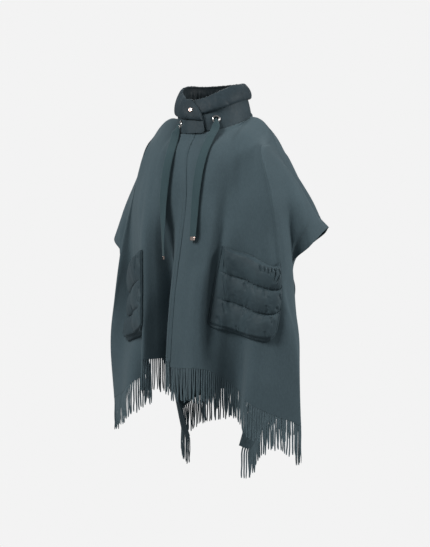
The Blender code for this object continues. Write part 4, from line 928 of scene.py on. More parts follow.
def close_poles(made):
    """Merges the points of a turned piece that meet, and points its faces outwards."""
    bm = bmesh.new()
    bm.from_mesh(made.data)
    bmesh.ops.remove_doubles(bm, verts=bm.verts, dist=MEETING)
    bmesh.ops.recalc_face_normals(bm, faces=bm.faces)
    bm.to_mesh(made.data)
    bm.free()


# ---------------------------------------------------------------- materials


class Socket:
    """A value inside a material: arithmetic on it adds Math nodes."""

    def __init__(self, look, output):
        self.look, self.output = look, output

    def math(self, operation, *values):
        """A Math node on values."""
        return self.look.node("ShaderNodeMath", {"operation": operation}, dict(enumerate(values)))

    def __add__(self, other):
        return self.math("ADD", self, other)

    def __sub__(self, other):
        return self.math("SUBTRACT", self, other)

    def __rsub__(self, other):
        return self.math("SUBTRACT", other, self)

    def __mul__(self, other):
        return self.math("MULTIPLY", self, other)

    __radd__, __rmul__ = __add__, __mul__

    def sine(self):
        """The value's sine, in radians."""
        return self.math("SINE", self)

    def near(self, middle, width):
        """1 at the middle, falling to 0 at width from it."""
        away = self.math("ABSOLUTE", self - middle)
        return self.look.node("ShaderNodeMapRange", {"interpolation_type": "SMOOTHSTEP"},
                              {"Value": away, "From Min": 0.0, "From Max": width,
                               "To Min": 1.0, "To Max": 0.0})


class Look:
    """A material; what is the same all over is set on its Principled shader's own sockets."""

    def __init__(self, name, **constants):
        self.material = bpy.data.materials.new(name)
        self.material.use_nodes = True
        self.tree = self.material.node_tree
        self.shader = self.tree.nodes["Principled BSDF"]
        for socket, value in constants.items():
            self.shader.inputs[socket.replace("_", " ")].default_value = value
        self.place = self.node("ShaderNodeTexCoord", {}, {}, "Object")

    def node(self, kind, settings, values, output=0):
        """A node of a kind: its settings first, then a value or a link for each socket."""
        made = self.tree.nodes.new(kind)
        for name, value in settings.items():
            setattr(made, name, value)
        for name, value in values.items():
            if isinstance(value, Socket):
                self.tree.links.new(value.output, made.inputs[name])
            else:
                made.inputs[name].default_value = value
        return Socket(self, made.outputs[output])

    def noise(self, scale, detail=2.0, rough=0.5, distort=0.0, stretch=None):
        """Noise over the piece, 0 to 1, with lumps of about 1 / scale metres."""
        where = self.place
        if stretch:
            where = self.node("ShaderNodeMapping", {}, {"Vector": where, "Scale": stretch})
        return self.node("ShaderNodeTexNoise", {},
                         {"Vector": where, "Scale": scale, "Detail": detail, "Roughness": rough,
                          "Distortion": distort})

    def mix(self, factor, first, second):
        """A colour between two, each four numbers or a link."""
        return self.node("ShaderNodeMix", {"data_type": "RGBA"}, {0: factor, 6: first, 7: second}, 2)

    def ease(self, value, low, high, start=0.0, end=1.0):
        """A value brought from low..high to start..end, softly at both ends."""
        return self.node("ShaderNodeMapRange", {"interpolation_type": "SMOOTHSTEP"},
                         {"Value": value, "From Min": low, "From Max": high,
                          "To Min": start, "To Max": end})

    def feed(self, **links):
        """Links values into sockets of the shader."""
        for socket, value in links.items():
            self.tree.links.new(value.output, self.shader.inputs[socket.replace("_", " ")])
        return self

    def bump(self, height, distance, strength=1.0):
        """A Bump node for a height between 0 and 1 that stands for distance metres."""
        return self.node("ShaderNodeBump", {},
                         {"Height": height, "Distance": distance, "Strength": strength}, "Normal")


def felted_wool(name, dark, light, fuzz):
    """Felted wool: four noises in shares, from single fibres to slow patches of the dye.

    The combed one is stretched down the cloth as a faint grain. The finer three are its height.
    """
    look = Look(name, Roughness=0.92, Sheen_Weight=fuzz, Sheen_Roughness=0.6,
                Sheen_Tint=(0.55, 0.66, 0.70, 1.0), Specular_IOR_Level=0.22)
    fibre = look.noise(1500.0, detail=3.0, rough=0.65, distort=0.6)
    combed = look.noise(420.0, detail=3.0, rough=0.6, distort=0.3, stretch=(1.0, 1.0, 0.28))
    clumps = look.noise(230.0, detail=2.0, rough=0.55)
    patches = look.noise(11.0, detail=3.0, rough=0.5)
    tone = fibre * 0.34 + combed * 0.30 + clumps * 0.16 + patches * 0.20
    colour = look.mix(look.ease(tone, 0.34, 0.66), (*dark, 1.0), (*light, 1.0))
    height = fibre * 0.45 + combed * 0.35 + clumps * 0.35
    rough = look.ease(clumps, 0.3, 0.7, 0.86, 0.97)
    look.feed(Base_Color=colour, Roughness=rough, Normal=look.bump(height, 0.0007, 0.55))
    return look.material


def shiny_nylon(name, dark, light, inside_shade=None):
    """Thin down-proof cloth: a fine weave, small crinkles and a soft gloss that differs slightly.

    Its colour follows the crinkles and slow patches, in shares. Where the piece's UV has 1 across,
    it is inside_shade times the dark colour: painted shade on the collar's shaded inside.
    """
    look = Look(name, Roughness=0.62, Sheen_Weight=0.10, Sheen_Roughness=0.5,
                Sheen_Tint=(0.6, 0.7, 0.75, 1.0), Specular_IOR_Level=0.28)
    crinkle = look.noise(48.0, detail=2.0, rough=0.5, distort=0.8)
    small = look.noise(190.0, detail=3.0, rough=0.6, distort=0.5)
    weave = look.noise(2600.0, detail=1.0, rough=0.5)
    slow = look.noise(14.0, detail=2.0, rough=0.5)
    tone = crinkle * 0.35 + small * 0.25 + slow * 0.40
    colour = look.mix(look.ease(tone, 0.36, 0.64), (*dark, 1.0), (*light, 1.0))
    # Painted shade: where the UV has 1 across, the colour is inside_shade times the dark one.
    if inside_shade:
        uv = look.node("ShaderNodeUVMap", {"uv_map": "along"}, {})
        inside = look.node("ShaderNodeSeparateXYZ", {}, {"Vector": uv})
        colour = look.mix(inside, colour, tuple(inside_shade * part for part in dark) + (1.0,))
    height = look.ease(crinkle, 0.25, 0.75) * 0.9 + small * 0.28 + weave * 0.03
    rough = look.ease(small, 0.3, 0.7, 0.56, 0.70)
    look.feed(Base_Color=colour, Roughness=rough, Normal=look.bump(height, 0.0011, 0.45))
    return look.material


def ribbed_tape(name, dark, light):
    """Woven tape: ribs across it as a sine of the UV's length, firm edges and a fine yarn."""
    look = Look(name, Roughness=0.75, Sheen_Weight=0.15, Sheen_Roughness=0.5, Specular_IOR_Level=0.3)
    uv = look.node("ShaderNodeUVMap", {"uv_map": "along"}, {})
    parts = look.node("ShaderNodeSeparateXYZ", {}, {"Vector": uv})
    run = Socket(look, parts.output.node.outputs[1])
    ribs = (run * (2 * math.pi / RIB_PITCH)).sine() * 0.5 + 0.5
    yarn = look.noise(1800.0, detail=2.0, rough=0.6)
    slow = look.noise(30.0, detail=2.0, rough=0.5)
    edges = parts.near(0.0, SELVAGE) + parts.near(1.0, SELVAGE)
    # Painted shade: the ribs darken the colour in their grooves.
    tone = ribs * 0.45 + yarn * 0.3 + slow * 0.25 + edges * 0.1
    colour = look.mix(look.ease(tone, 0.2, 0.8), (*dark, 1.0), (*light, 1.0))
    height = ribs * 0.7 + yarn * 0.2 + edges * 0.3
    look.feed(Base_Color=colour, Normal=look.bump(height, 0.0004, 0.6),
              Roughness=look.ease(yarn, 0.3, 0.7, 0.68, 0.84))
    return look.material


def worn_metal(name, colour, dull, rough):
    """Polished metal with faint tumbling marks and duller patches where it is handled."""
    look = Look(name, Metallic=1.0, Roughness=rough)
    marks = look.noise(2400.0, detail=2.0, rough=0.6)
    cloud = look.noise(160.0, detail=2.0, rough=0.5)
    look.feed(Base_Color=look.mix(look.ease(cloud, 0.35, 0.7), (*colour, 1.0), (*dull, 1.0)),
              Roughness=look.ease(cloud * 0.7 + marks * 0.3, 0.3, 0.7, rough * 0.8, rough * 1.5),
              Normal=look.bump(marks, 0.00005, 0.4))
    return look.material


def thread(name, colour):
    """Sewing thread with its twist as a fine grain."""
    look = Look(name, Roughness=0.6, Sheen_Weight=0.1)
    twist = look.noise(3200.0, detail=1.0, rough=0.5, stretch=(1.0, 1.0, 0.5))
    darker = tuple(0.7 * part for part in colour)
    look.feed(Base_Color=look.mix(twist, (*darker, 1.0), (*colour, 1.0)))
    return look.material


def glow(name, level):
    """The studio's paper: the same pale tone everywhere."""
    look = Look(name, Roughness=1.0, Base_Color=(0.0, 0.0, 0.0, 1.0), Specular_IOR_Level=0.0,
                Emission_Color=(level, level, level, 1.0), Emission_Strength=1.0)
    return look.material


# ---------------------------------------------------------------- camera

VIEW_AZIMUTH = math.radians(32.0)
VIEW_DISTANCE = 3.2
VIEW_ASIDE = 0.0026  # how far beside the origin its middle line passes
VIEW_HEIGHT = -0.40  # and how high
PIXEL = 0.0026  # metres to a pixel at the object
FRAME_TALL = 547  # pixels
SENSOR = 36.0  # millimetres


def photo_camera():
    """The camera that sees the garment as the photograph does."""
    camera = bpy.data.cameras.new("photo view")
    camera.sensor_width = SENSOR
    camera.lens = SENSOR * VIEW_DISTANCE / (FRAME_TALL * PIXEL)
    made = bpy.data.objects.new("photo view", camera)
    bpy.context.scene.collection.objects.link(made)
    away = Vector((math.sin(VIEW_AZIMUTH), -math.cos(VIEW_AZIMUTH), 0.0))
    aside = Vector((math.cos(VIEW_AZIMUTH), math.sin(VIEW_AZIMUTH), 0.0))
    made.location = Vector((0.0, 0.0, VIEW_HEIGHT)) + aside * VIEW_ASIDE + away * VIEW_DISTANCE
    made.rotation_euler = away.to_track_quat("Z", "Y").to_euler()
    bpy.context.scene.camera = made


photo_camera()

WOOL_LOOK = felted_wool("felted wool finish", (0.062, 0.094, 0.108), (0.087, 0.130, 0.150), 0.22)
# Painted light: the strands' wool is the cloth's own, coloured lighter against their shade.
FRINGE_LOOK = felted_wool("strands wool with painted light", (0.080, 0.118, 0.134), (0.112, 0.162, 0.184), 0.28)
NYLON_LOOK = shiny_nylon("quilted nylon finish", (0.040, 0.064, 0.076), (0.056, 0.088, 0.102))
# Painted shade: the pocket nylon made darker for the collar, most on the fold, darker inside.
STAND_LOOK = shiny_nylon("collar nylon with painted shade", (0.031, 0.050, 0.060), (0.044, 0.069, 0.082), 0.45)
FOLD_LOOK = shiny_nylon("collar fold nylon with painted shade", (0.024, 0.039, 0.048), (0.034, 0.055, 0.067), 0.55)
TAPE_LOOK = ribbed_tape("ribbed tape finish", (0.033, 0.066, 0.075), (0.058, 0.108, 0.122))
METAL_LOOK = worn_metal("polished metal finish", (0.78, 0.75, 0.72), (0.55, 0.52, 0.50), 0.16)
ROSE_LOOK = worn_metal("warm metal finish", (0.86, 0.68, 0.60), (0.62, 0.47, 0.42), 0.20)
THREAD_LOOK = thread("sewing thread", (0.072, 0.106, 0.120))

# ---------------------------------------------------------------- drawstring


def sampled(route, count):
    """A route through its points, read evenly along its length."""
    route = np.array(route)
    marks = along(route)
    return through(marks, route, np.linspace(0.0, marks[-1], count))


def tape(name, route, degrees, low):
    """A flat woven tape: a flat oval section with firm edges, carried along the route.

    It is turned in the eyelet by degrees and pinched there, spreads to its full width below and is
    turned by low at its end. The middle line and the directions at its end are given back too.
    """
    middle = sampled(route, TAPE_STEPS)
    at = along(middle)
    way = unit(np.gradient(middle, axis=0))
    spread_out = smooth_step((at - TAPE_LEAVES) / TAPE_SPREADS)
    hangs = np.clip((at - TAPE_LEAVES) / (at[-1] - TAPE_LEAVES), 0.0, 1.0)
    twisted = smooth_step((hangs - TWISTS_FROM) / (1.0 - TWISTS_FROM))
    facing = TAPE_FACES + (low - TAPE_FACES) * twisted
    turn = np.radians(degrees * (1.0 - spread_out) + facing * spread_out)
    across = np.stack([np.cos(turn), np.sin(turn), np.zeros(len(at))], axis=1)
    across = unit(across - way * np.sum(way * across, axis=1, keepdims=True))
    out = np.cross(way, across)
    wide = TAPE_PINCHED + (TAPE_WIDE - TAPE_PINCHED) * spread_out
    place = np.linspace(-1.0, 1.0, TAPE_ACROSS)
    thicker, selvage, reach = TAPE_FIRM
    firm = 1.0 + thicker * bell(np.abs(place), selvage, reach)
    rounded = np.sqrt(np.maximum(1.0 - np.abs(place) ** TAPE_POWER, TAPE_LEAST))
    half = TAPE_THICK / 2 * firm * rounded
    waved = (TAPE_WAVE[0] * np.sin(at * TAPE_WAVE[1]) * spread_out)[:, None]
    cupped = (1.0 - spread_out)[:, None] * TAPE_CUPPED * np.cos(place * math.pi)
    bend = waved + TAPE_CROWN * (1.0 - place ** 2) + cupped
    layers = [middle[:, None] + across[:, None] * (wide[:, None] / 2 * place)[:, :, None]
              + out[:, None] * (bend + sign * half)[:, :, None] for sign in (1.0, -1.0)]
    loops = np.concatenate([layers[0], layers[1][:, ::-1]], axis=1)
    share = np.concatenate([place, place[::-1]]) / 2 + 0.5
    uv = np.stack(np.broadcast_arrays(share, at[:, None]), axis=2).reshape(-1, 2)
    made = swept(name, loops, True, TAPE_LOOK, "ribbed tape", uv)
    return made, middle, (way[-1], across[-1])


def crimp(name, start, way, across):
    """A flat metal ferrule: a superellipse carried along it, with two pressed grooves.

    Its size falls away in a quarter circle at both ends.
    """
    ends = np.linspace(0.0, TIP_ROUND, TIP_END_LEVELS)
    t = np.concatenate([ends, np.linspace(TIP_EVEN, 1.0 - TIP_EVEN, TIP_LEVELS), 1.0 - ends[::-1]])
    depth = np.cross(way, across)
    angle = np.linspace(0.0, 2 * np.pi, TIP_SIDES, endpoint=False)
    cos, sin = np.cos(angle), np.sin(angle)
    round_box = (np.abs(cos) ** TIP_POWER + np.abs(sin) ** TIP_POWER) ** (-1 / TIP_POWER)
    shrink = TIP_SHRINK * (1.0 - quarter_circle(np.minimum(t, 1.0 - t) / TIP_ROUND))
    groove = TIP_GROOVE_DEEP * sum(bell(t, place, TIP_GROOVE_WIDE) for place in TIP_GROOVES)
    size = (1.0 - shrink - groove)[:, None, None]
    centre = start + way * (SEAM + t[:, None] * TIP_LONG)
    ring = (across * (cos * round_box * TIP_WIDE / 2)[:, None]
            + depth * (sin * round_box * TIP_THICK / 2)[:, None])
    return swept(name, centre[:, None] + ring[None] * size, True, ROSE_LOOK, "polished metal")


for side, route, degrees, low in (("left", TAPE_LEFT, TURN_LEFT, LOW_LEFT),
                                  ("right", TAPE_RIGHT, TURN_RIGHT, LOW_RIGHT)):
    string, middle, end = tape("drawstring_" + side, route, degrees, low)
    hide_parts("tape_" + side)
    tip = crimp("drawstring_" + side + "_end", middle[-1], *end)
    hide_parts("tape_tip_" + side)
    seen = middle[np.argmin(np.linalg.norm(middle - np.array(route[TAPE_EXIT]), axis=1)):]

# ---------------------------------------------------------------- wool

rows = rows_of(CLOTH_ROWS)
left_across = spread(-LAP_WIDTH, SIDE_EDGE, FRONT_COLUMNS, False, True)
right_across = spread(-LAP_WIDTH, SIDE_EDGE, FRONT_COLUMNS, True, True)
back_across = spread(-SIDE_EDGE, SIDE_EDGE, BACK_COLUMNS, True, True)
# Places across where the cloth lies still, and the centimetres over which creases fade there
FRONT_QUIET = ((0.0, 4.0), (SIDE_EDGE, 3.0))
BACK_QUIET = ((-SIDE_EDGE, 3.0), (SIDE_EDGE, 3.0))


def worn_left(across, at):
    """The left front as it is worn."""
    surface = left_front(across, at)
    return worn(surface, across, at, False, CREASES_LEFT, FRONT_QUIET, (SIDE_EDGE,))


def worn_right(across, at):
    """The right front as it is worn."""
    surface = right_front(across, at)
    return worn(surface, across, at, True, CREASES_RIGHT, FRONT_QUIET, (-LAP_WIDTH, SIDE_EDGE))


def worn_back(across, at):
    """The back as it is worn."""
    surface = back_panel(across, at)
    return worn(surface, across, at, True, CREASES_BACK, BACK_QUIET, (-SIDE_EDGE, SIDE_EDGE))


panels = {}
for name, worn_panel, across, flip, skip, seed, pressed in (
        ("left", worn_left, left_across, False, LAP_WIDTH * CM, 5, None),
        ("right", worn_right, right_across, True, 0.0, 6, -LAP_WIDTH),
        ("back", worn_back, back_across, True, 0.0, 7, None)):
    surface = worn_panel(across, rows)
    panel = cloth("cloth_" + name, surface, across, flip, WOOL_LOOK, "felted wool", pressed)
    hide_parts("back" if name == "back" else "front_" + name)
    edge = strands("strands_" + name, surface, flip, skip, seed, FRINGE_LOOK, "felted wool")
    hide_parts("fringe_" + name)
    panels[name] = [panel, edge]


def line_on(worn_panel, across, flip):
    """A line of sewing down a panel at a place across it, with its normals."""
    at = np.linspace(SEWN_FROM, SEWN_TO, SEWN_STEPS)
    surface = worn_panel(across + np.array([-SEWN_BESIDE, 0.0, SEWN_BESIDE]), at)
    normals = outward(surface, flip)[:, 1]
    return surface[:, 1] + normals * STITCH_LIFT, normals


for name, worn_panel, flip, places in (
        ("left", worn_left, False, (SIDE_EDGE - HEM_SEWN,)),
        ("right", worn_right, True, (SIDE_EDGE - HEM_SEWN, -LAP_WIDTH + HEM_SEWN)),
        ("back", worn_back, True, (SIDE_EDGE - HEM_SEWN, -SIDE_EDGE + HEM_SEWN))):
    lines = [line_on(worn_panel, across, flip) for across in places]
    panels[name].append(sew("stitches_" + name, lines, THREAD_LOOK, "felted wool"))

# ---------------------------------------------------------------- collar


def collar_shape(degrees):
    """The rim's height, the fold's lower edge and how far out the collar lies, at each angle."""
    table = np.array(COLLAR)
    rim, lower = (through(table[:, 0], table[:, k] * CM, degrees) for k in (1, 2))
    lifted = COLLAR_LAP * smooth_step((degrees - LIFTED_FROM) / LIFTED_OVER)
    return rim, lower, lifted


def ring_point(degrees, out, height):
    """A point of the collar: out from its inner face, at a height over the whole ring.

    The ring narrows by a power of the point's share of the height between the neck and the rim.
    """
    foot, rim = neck(degrees)[:, 2], collar_shape(degrees)[0]
    part = np.clip((height - foot) / (rim - foot), 0.0, LEAN_MOST)
    radius = NECK_RADIUS + SEAM - COLLAR_LEAN * part ** LEAN_POWER + out
    angle = np.radians(degrees)
    x = radius * np.sin(angle) + COLLAR_TILT * part
    return np.stack([x, -radius * np.cos(angle), height], axis=-1)


def collar_frame(degrees, height, out):
    """The place and turn of a flat piece on the collar, with its own Z pointing outwards."""
    def spot(further, raised):
        at = np.array([float(degrees) + further])
        return Vector(ring_point(at, out + collar_shape(at)[2], np.array([height + raised]))[0])

    centre, higher, beside = spot(0.0, 0.0), spot(0.0, FRAME_UP), spot(FRAME_ROUND, 0.0)
    up, side = (higher - centre).normalized(), (beside - centre).normalized()
    normal = side.cross(up).normalized()
    turn = Matrix((side, normal.cross(side), normal)).transposed().to_4x4()
    return Matrix.Translation(centre) @ turn


def slanted(points, degrees):
    """Turns the right end's points round the neck by their height, so that its edge is slanted."""
    reach = smooth_step((degrees - SLANT_FROM) / SLANT_OVER)[:, None]
    table = np.array(END_SLANT)
    turn = np.radians(through(table[:, 0] * CM, table[:, 1], points[..., 2].ravel()))
    turn = turn.reshape(points.shape[:2]) * reach
    x, y = points[..., 0], points[..., 1]
    return np.stack([x * np.cos(turn) - y * np.sin(turn), x * np.sin(turn) + y * np.cos(turn),
                     points[..., 2]], axis=-1)


def wrinkled(degrees, place):
    """The fold's wrinkles: troughs between places round the neck and its section, in millimetres."""
    u, v = np.meshgrid(degrees, place * ROLL_TURN, indexing="ij")
    moved = np.zeros_like(u)
    for u0, v0, u1, v1, wide, deep in ROLL_CREASES:
        line = (u0, v0 * ROLL_TURN, u1, v1 * ROLL_TURN)
        moved -= furrow(u, v, line, wide, deep, ROLL_FADES, ROLL_RIDGE)
    return moved


def roll_loops(degrees):
    """The fold's section at each angle: a smooth loop through twelve points.

    They run from the inner side over the rim, down the outside and back up. The places round the
    section, as shares, come first.
    """
    rim, lower, lifted = collar_shape(degrees)
    fuller = ROLL_FULLER * (1.0 - bell(degrees, SNAP_PLACE[0], SNAP_DENT))
    thick = np.interp(degrees, *zip(*ROLL_PADDING)) + fuller
    tall, inner = rim - lower, STAND_THICK + SEAM
    head = rim - ROLL_HEAD + SEAM
    knots = [ring_point(degrees, lifted - ROLL_INSIDE / 3, head),
             ring_point(degrees, lifted - ROLL_INSIDE, head + ROLL_HEAD / 2),
             ring_point(degrees, lifted + inner / 2, rim)]
    knots += [ring_point(degrees, lifted + inner + out * thick, lower + tall * share)
              for out, share in ROLL_OUTSIDE]
    knots += [ring_point(degrees, lifted + inner, lower + tall / 4),
              ring_point(degrees, lifted + inner, head)]
    count = len(knots)
    place = np.arange(ROLL_STEPS) / ROLL_STEPS
    wrapped = np.array([*knots[-3:], *knots, *knots[:3]])
    return place, through(np.arange(-3, count + 3), wrapped, place * count).transpose(1, 0, 2)


def loop_normals(loops):
    """The normals of closed loops that are carried along, pointing away from their middles."""
    closed = np.concatenate([loops[:, -1:], loops, loops[:, :1]], axis=1)
    normal = unit(np.cross((closed[:, 2:] - closed[:, :-2]) / 2, np.gradient(loops, axis=0)))
    away = loops - loops.mean(axis=1, keepdims=True)
    return -normal if np.mean(np.sum(normal * away, axis=2)) < 0 else normal


def drawn_in(loops, degrees):
    """Rounds a roll off at both ends: its loops shrink there like a quarter circle."""
    near = np.minimum(degrees - degrees[0], degrees[-1] - degrees) / ROUNDED_END
    shrink = quarter_circle(near, ROUNDED_LEAST)[:, None, None]
    middle = loops.mean(axis=1, keepdims=True)
    flat, upright = np.array([1.0, 1.0, 0.0]), np.array([0.0, 0.0, 1.0])
    return middle + (loops - middle) * (flat * shrink + upright * (1.0 - ROUNDED_DOWN * (1.0 - shrink)))


def collar_roll():
    """The padded fold: its section is carried round the neck and drawn in at both ends.

    Gathers are sines round the neck, strongest at the rim and the sewn edge. They and the wrinkles
    are moves along the normals.
    """
    degrees = np.linspace(COLLAR[0][0], COLLAR[-1][0], COLLAR_STEPS)
    place, loops = roll_loops(degrees)
    drift, slow = ROLL_DRIFT
    gathers = sum(high * np.sin(2 * np.pi * degrees / every + shift
                                + drift * np.sin(degrees * slow + shift))
                  for every, shift, high in GATHERS)
    sewn = sum(share * bell(place, middle, width) for middle, width, share in ROLL_SEAMS)
    moved = wrinkled(degrees, place) * bell(place, *ROLL_FREE, power=4) + gathers[:, None] * sewn
    plain = (smooth_step((degrees - degrees[0]) / ROLL_PLAIN_ENDS)
             * smooth_step((degrees[-1] - degrees) / ROLL_PLAIN_ENDS)
             * (1.0 - bell(degrees, SNAP_PLACE[0], ROLL_PLAIN_SNAP, power=4)))
    loops = loops + loop_normals(loops) * (moved * plain[:, None] * MM)[:, :, None]
    loops = slanted(drawn_in(loops, degrees), degrees)
    # Painted shade: the fold's inner side gets 1 across in the UV, which its finish darkens.
    (ends, ends_over), (starts, starts_over) = ROLL_SHADED_INSIDE
    inside = 1.0 - smooth_step((place - ends) / ends_over) + smooth_step((place - starts) / starts_over)
    uv = np.stack(np.broadcast_arrays(inside, degrees[:, None] / 360.0), axis=2).reshape(-1, 2)
    return swept("collar_fold", loops, False, FOLD_LOOK, "quilted nylon", uv)


def stand_rest(degrees):
    """How far over the neck seam the stand's foot is, at each angle."""
    near = np.minimum(degrees, 360.0 - degrees)
    rest = SEAM + CORNER_LIFT * np.clip(1.0 - np.abs(near - NECK_SIDE) / CORNER_REACH, 0.0, 1.0)
    rest = evened(np.where(near < LAP_HALF, LAP_CLEAR, rest), REST_EVEN, mode="edge")
    last = np.clip((degrees - degrees[-1] + END_ROUND) / END_ROUND, 0.0, 1.0)
    return rest + END_RISES * (1.0 - np.sqrt(1.0 - END_SHARP * last ** 2))


def collar_stand():
    """The stand: two faces a padding apart, from the neck seam up into the fold.

    Its outer face swells a little between its seams, with upright puckers that are deepest at the
    neck seam, and its lined inner face stands in soft upright folds as well.
    """
    degrees = np.linspace(COLLAR[0][0], COLLAR[-1][0], COLLAR_STEPS)
    rim, _, lifted = collar_shape(degrees)
    rest, head = stand_rest(degrees), rim - ROLL_HEAD
    part = np.linspace(0.0, 1.0, STAND_STEPS)[:, None]
    soft = np.sin(np.pi * part) ** STAND_POWER
    drift, slow = STAND_DRIFT
    puckers = sum(high * np.sin(2 * np.pi * degrees / every + shift * 2
                                + drift * np.sin(degrees * slow)) for every, shift, high in GATHERS)
    fades = PUCKERS_SEAM * np.exp(-part / PUCKERS_FADE) + PUCKERS_LEFT * soft
    swell = STAND_SWELL * soft + MM * np.abs(puckers) * fades
    folds = sum(high * np.sin(2 * np.pi * degrees / every + lean * part + every)
                for every, lean, high in LINING)
    lined = swell + MM * np.abs(folds) * soft
    calm = smooth_step((1.0 - part) / STAND_CALM)
    for angle, _ in (EYELET_LEFT, EYELET_RIGHT):
        calm = calm * (1.0 - bell(degrees, angle, EYELET_PLAIN, power=4))
    walls = []
    for out, moved in ((0.0, -lined * calm), (STAND_THICK, swell * calm)):
        foot = neck(degrees, NECK_RADIUS + SEAM + lifted + out)[:, 2] + rest
        wall = np.array([ring_point(degrees, lifted + out + move, foot + (head - foot) * share)
                         for share, move in zip(part, moved)])
        walls.append(slanted(wall.transpose(1, 0, 2), degrees).transpose(1, 0, 2)[::-1])
    # Painted shade: the stand's inner face gets 1 across in the UV, which its finish darkens.
    inside = np.repeat([0.0, 1.0], degrees.size * part.size)
    made = closed_wall("collar_band", walls[1], walls[0], False, STAND_LOOK, "quilted nylon",
                       np.stack([inside, inside], axis=1))
    for angle, height in (EYELET_LEFT, EYELET_RIGHT):
        punch(made, collar_frame(angle, height * CM, EYELET_OUT))
    return made


def punch(made, where):
    """Cuts an eyelet's round hole through a wall, and keeps the result as the piece's mesh."""
    angle = np.linspace(0.0, 2 * np.pi, TURNS, endpoint=False)
    x, y = EYELET_HOLE * np.cos(angle), EYELET_HOLE * np.sin(angle)
    points = np.concatenate([np.stack([x, y, np.full(TURNS, end)], axis=1) for end in PUNCH_ENDS])
    k = np.arange(TURNS)
    sides = np.stack([k, np.roll(k, -1), np.roll(k, -1) + TURNS, k + TURNS], axis=1).tolist()
    mesh = bpy.data.meshes.new("punch")
    mesh.from_pydata(placed(points, where).tolist(), [],
                     [*sides, k[::-1].tolist(), (k + TURNS).tolist()])
    cutter = bpy.data.objects.new("punch", mesh)
    bpy.context.scene.collection.objects.link(cutter)
    hole = made.modifiers.new("hole", "BOOLEAN")
    hole.object = cutter
    cut = bpy.data.meshes.new_from_object(made.evaluated_get(bpy.context.evaluated_depsgraph_get()))
    made.modifiers.clear()
    made.data = cut
    bpy.data.objects.remove(cutter)


fold = collar_roll()
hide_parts("collar_roll")
band = collar_stand()
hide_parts("collar_stand")

for side, (angle, height) in (("left", EYELET_LEFT), ("right", EYELET_RIGHT)):
    ring = turned("eyelet_ring_" + side, EYELET_SECTION, collar_frame(angle, height * CM, EYELET_OUT),
                  METAL_LOOK, "polished metal")
    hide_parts("eyelet_" + side)
snap_out = STAND_THICK + SEAM + np.interp(SNAP_PLACE[0], *zip(*ROLL_PADDING)) + SNAP_MIDDLE
button = turned("snap_cap", SNAP_SECTION, collar_frame(SNAP_PLACE[0], SNAP_PLACE[1] * CM, snap_out),
                ROSE_LOOK, "polished metal")
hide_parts("snap")

# ---------------------------------------------------------------- pockets


def pocket_places(spot):
    """Where a pocket's grid lies on its front.

    Given back are its places from side to side, -1 to 1, the same as a share, its depth below the
    mouth as a share, and the columns and rows of the front at each point of the grid.
    """
    marks, mouth, bottom, leans = spot
    even = np.linspace(-1.0, 1.0, POCKET_COLUMNS)
    sideways = 0.5 * even + 0.5 * np.sin(np.pi / 2 * even)  # closer together at the edges
    share = (sideways + 1.0) / 2.0
    depth = np.linspace(0.0, 1.0, POCKET_ROWS)[:, None]
    across = np.interp(share * (len(marks) - 1), np.arange(len(marks)), marks)
    across = evened(across, MARKS_EVEN, mode="reflect", reflect_type="odd")
    across = across + depth ** LEAN_DOWN * (leans[0] * (1.0 - share) ** 2 + leans[1] * share ** 2)
    corner = np.where(sideways < 0, *POCKET_CORNER) * np.abs(sideways) ** CORNER_POWER
    low = bottom[0] + (bottom[1] - bottom[0]) * share - corner
    sag = MOUTH_SAGS * np.sin(np.pi * share ** MOUTH_LOWEST)
    high = mouth[0] + (mouth[1] - mouth[0]) * share + sag
    down = np.interp(high + (low - high) * depth, np.arange(len(FRAME_ROWS)), FRAME_ROWS)
    return sideways, share, depth, across, down


def cubic_shares(t):
    """Shares of the four nearest points on a cubic through the middle two, at t between them."""
    return (-0.5 * t + t * t - 0.5 * t ** 3, 1.0 - 2.5 * t * t + 1.5 * t ** 3,
            0.5 * t + 2.0 * t * t - 1.5 * t ** 3, 0.5 * t ** 3 - 0.5 * t * t)


def read_front(worn_panel, flip, marks, across, down):
    """A worn front's points and its evened normals, read smoothly between those of a grid."""
    places = np.linspace(marks[0] - POCKET_BESIDE, marks[-1] + POCKET_BESIDE, PANEL_COLUMNS)
    surface = worn_panel(places, rows)
    near = np.arange(PANEL_COLUMNS)[:, None] + np.arange(-POCKET_EVEN, POCKET_EVEN + 1)
    near = np.clip(near, 0, PANEL_COLUMNS - 1)
    normals = unit(outward(surface, flip)[:, near].mean(axis=2))
    row = np.interp(down, rows, np.arange(len(rows)))
    column = (across - places[0]) / (places[1] - places[0])
    row_at, column_at = row.astype(int), column.astype(int)
    row_shares, column_shares = cubic_shares(row - row_at), cubic_shares(column - column_at)

    def read(grid):
        return sum((u * v)[:, :, None] * grid[row_at + j - 1, column_at + i - 1]
                   for j, u in enumerate(row_shares) for i, v in enumerate(column_shares))

    return read(surface), unit(read(normals))


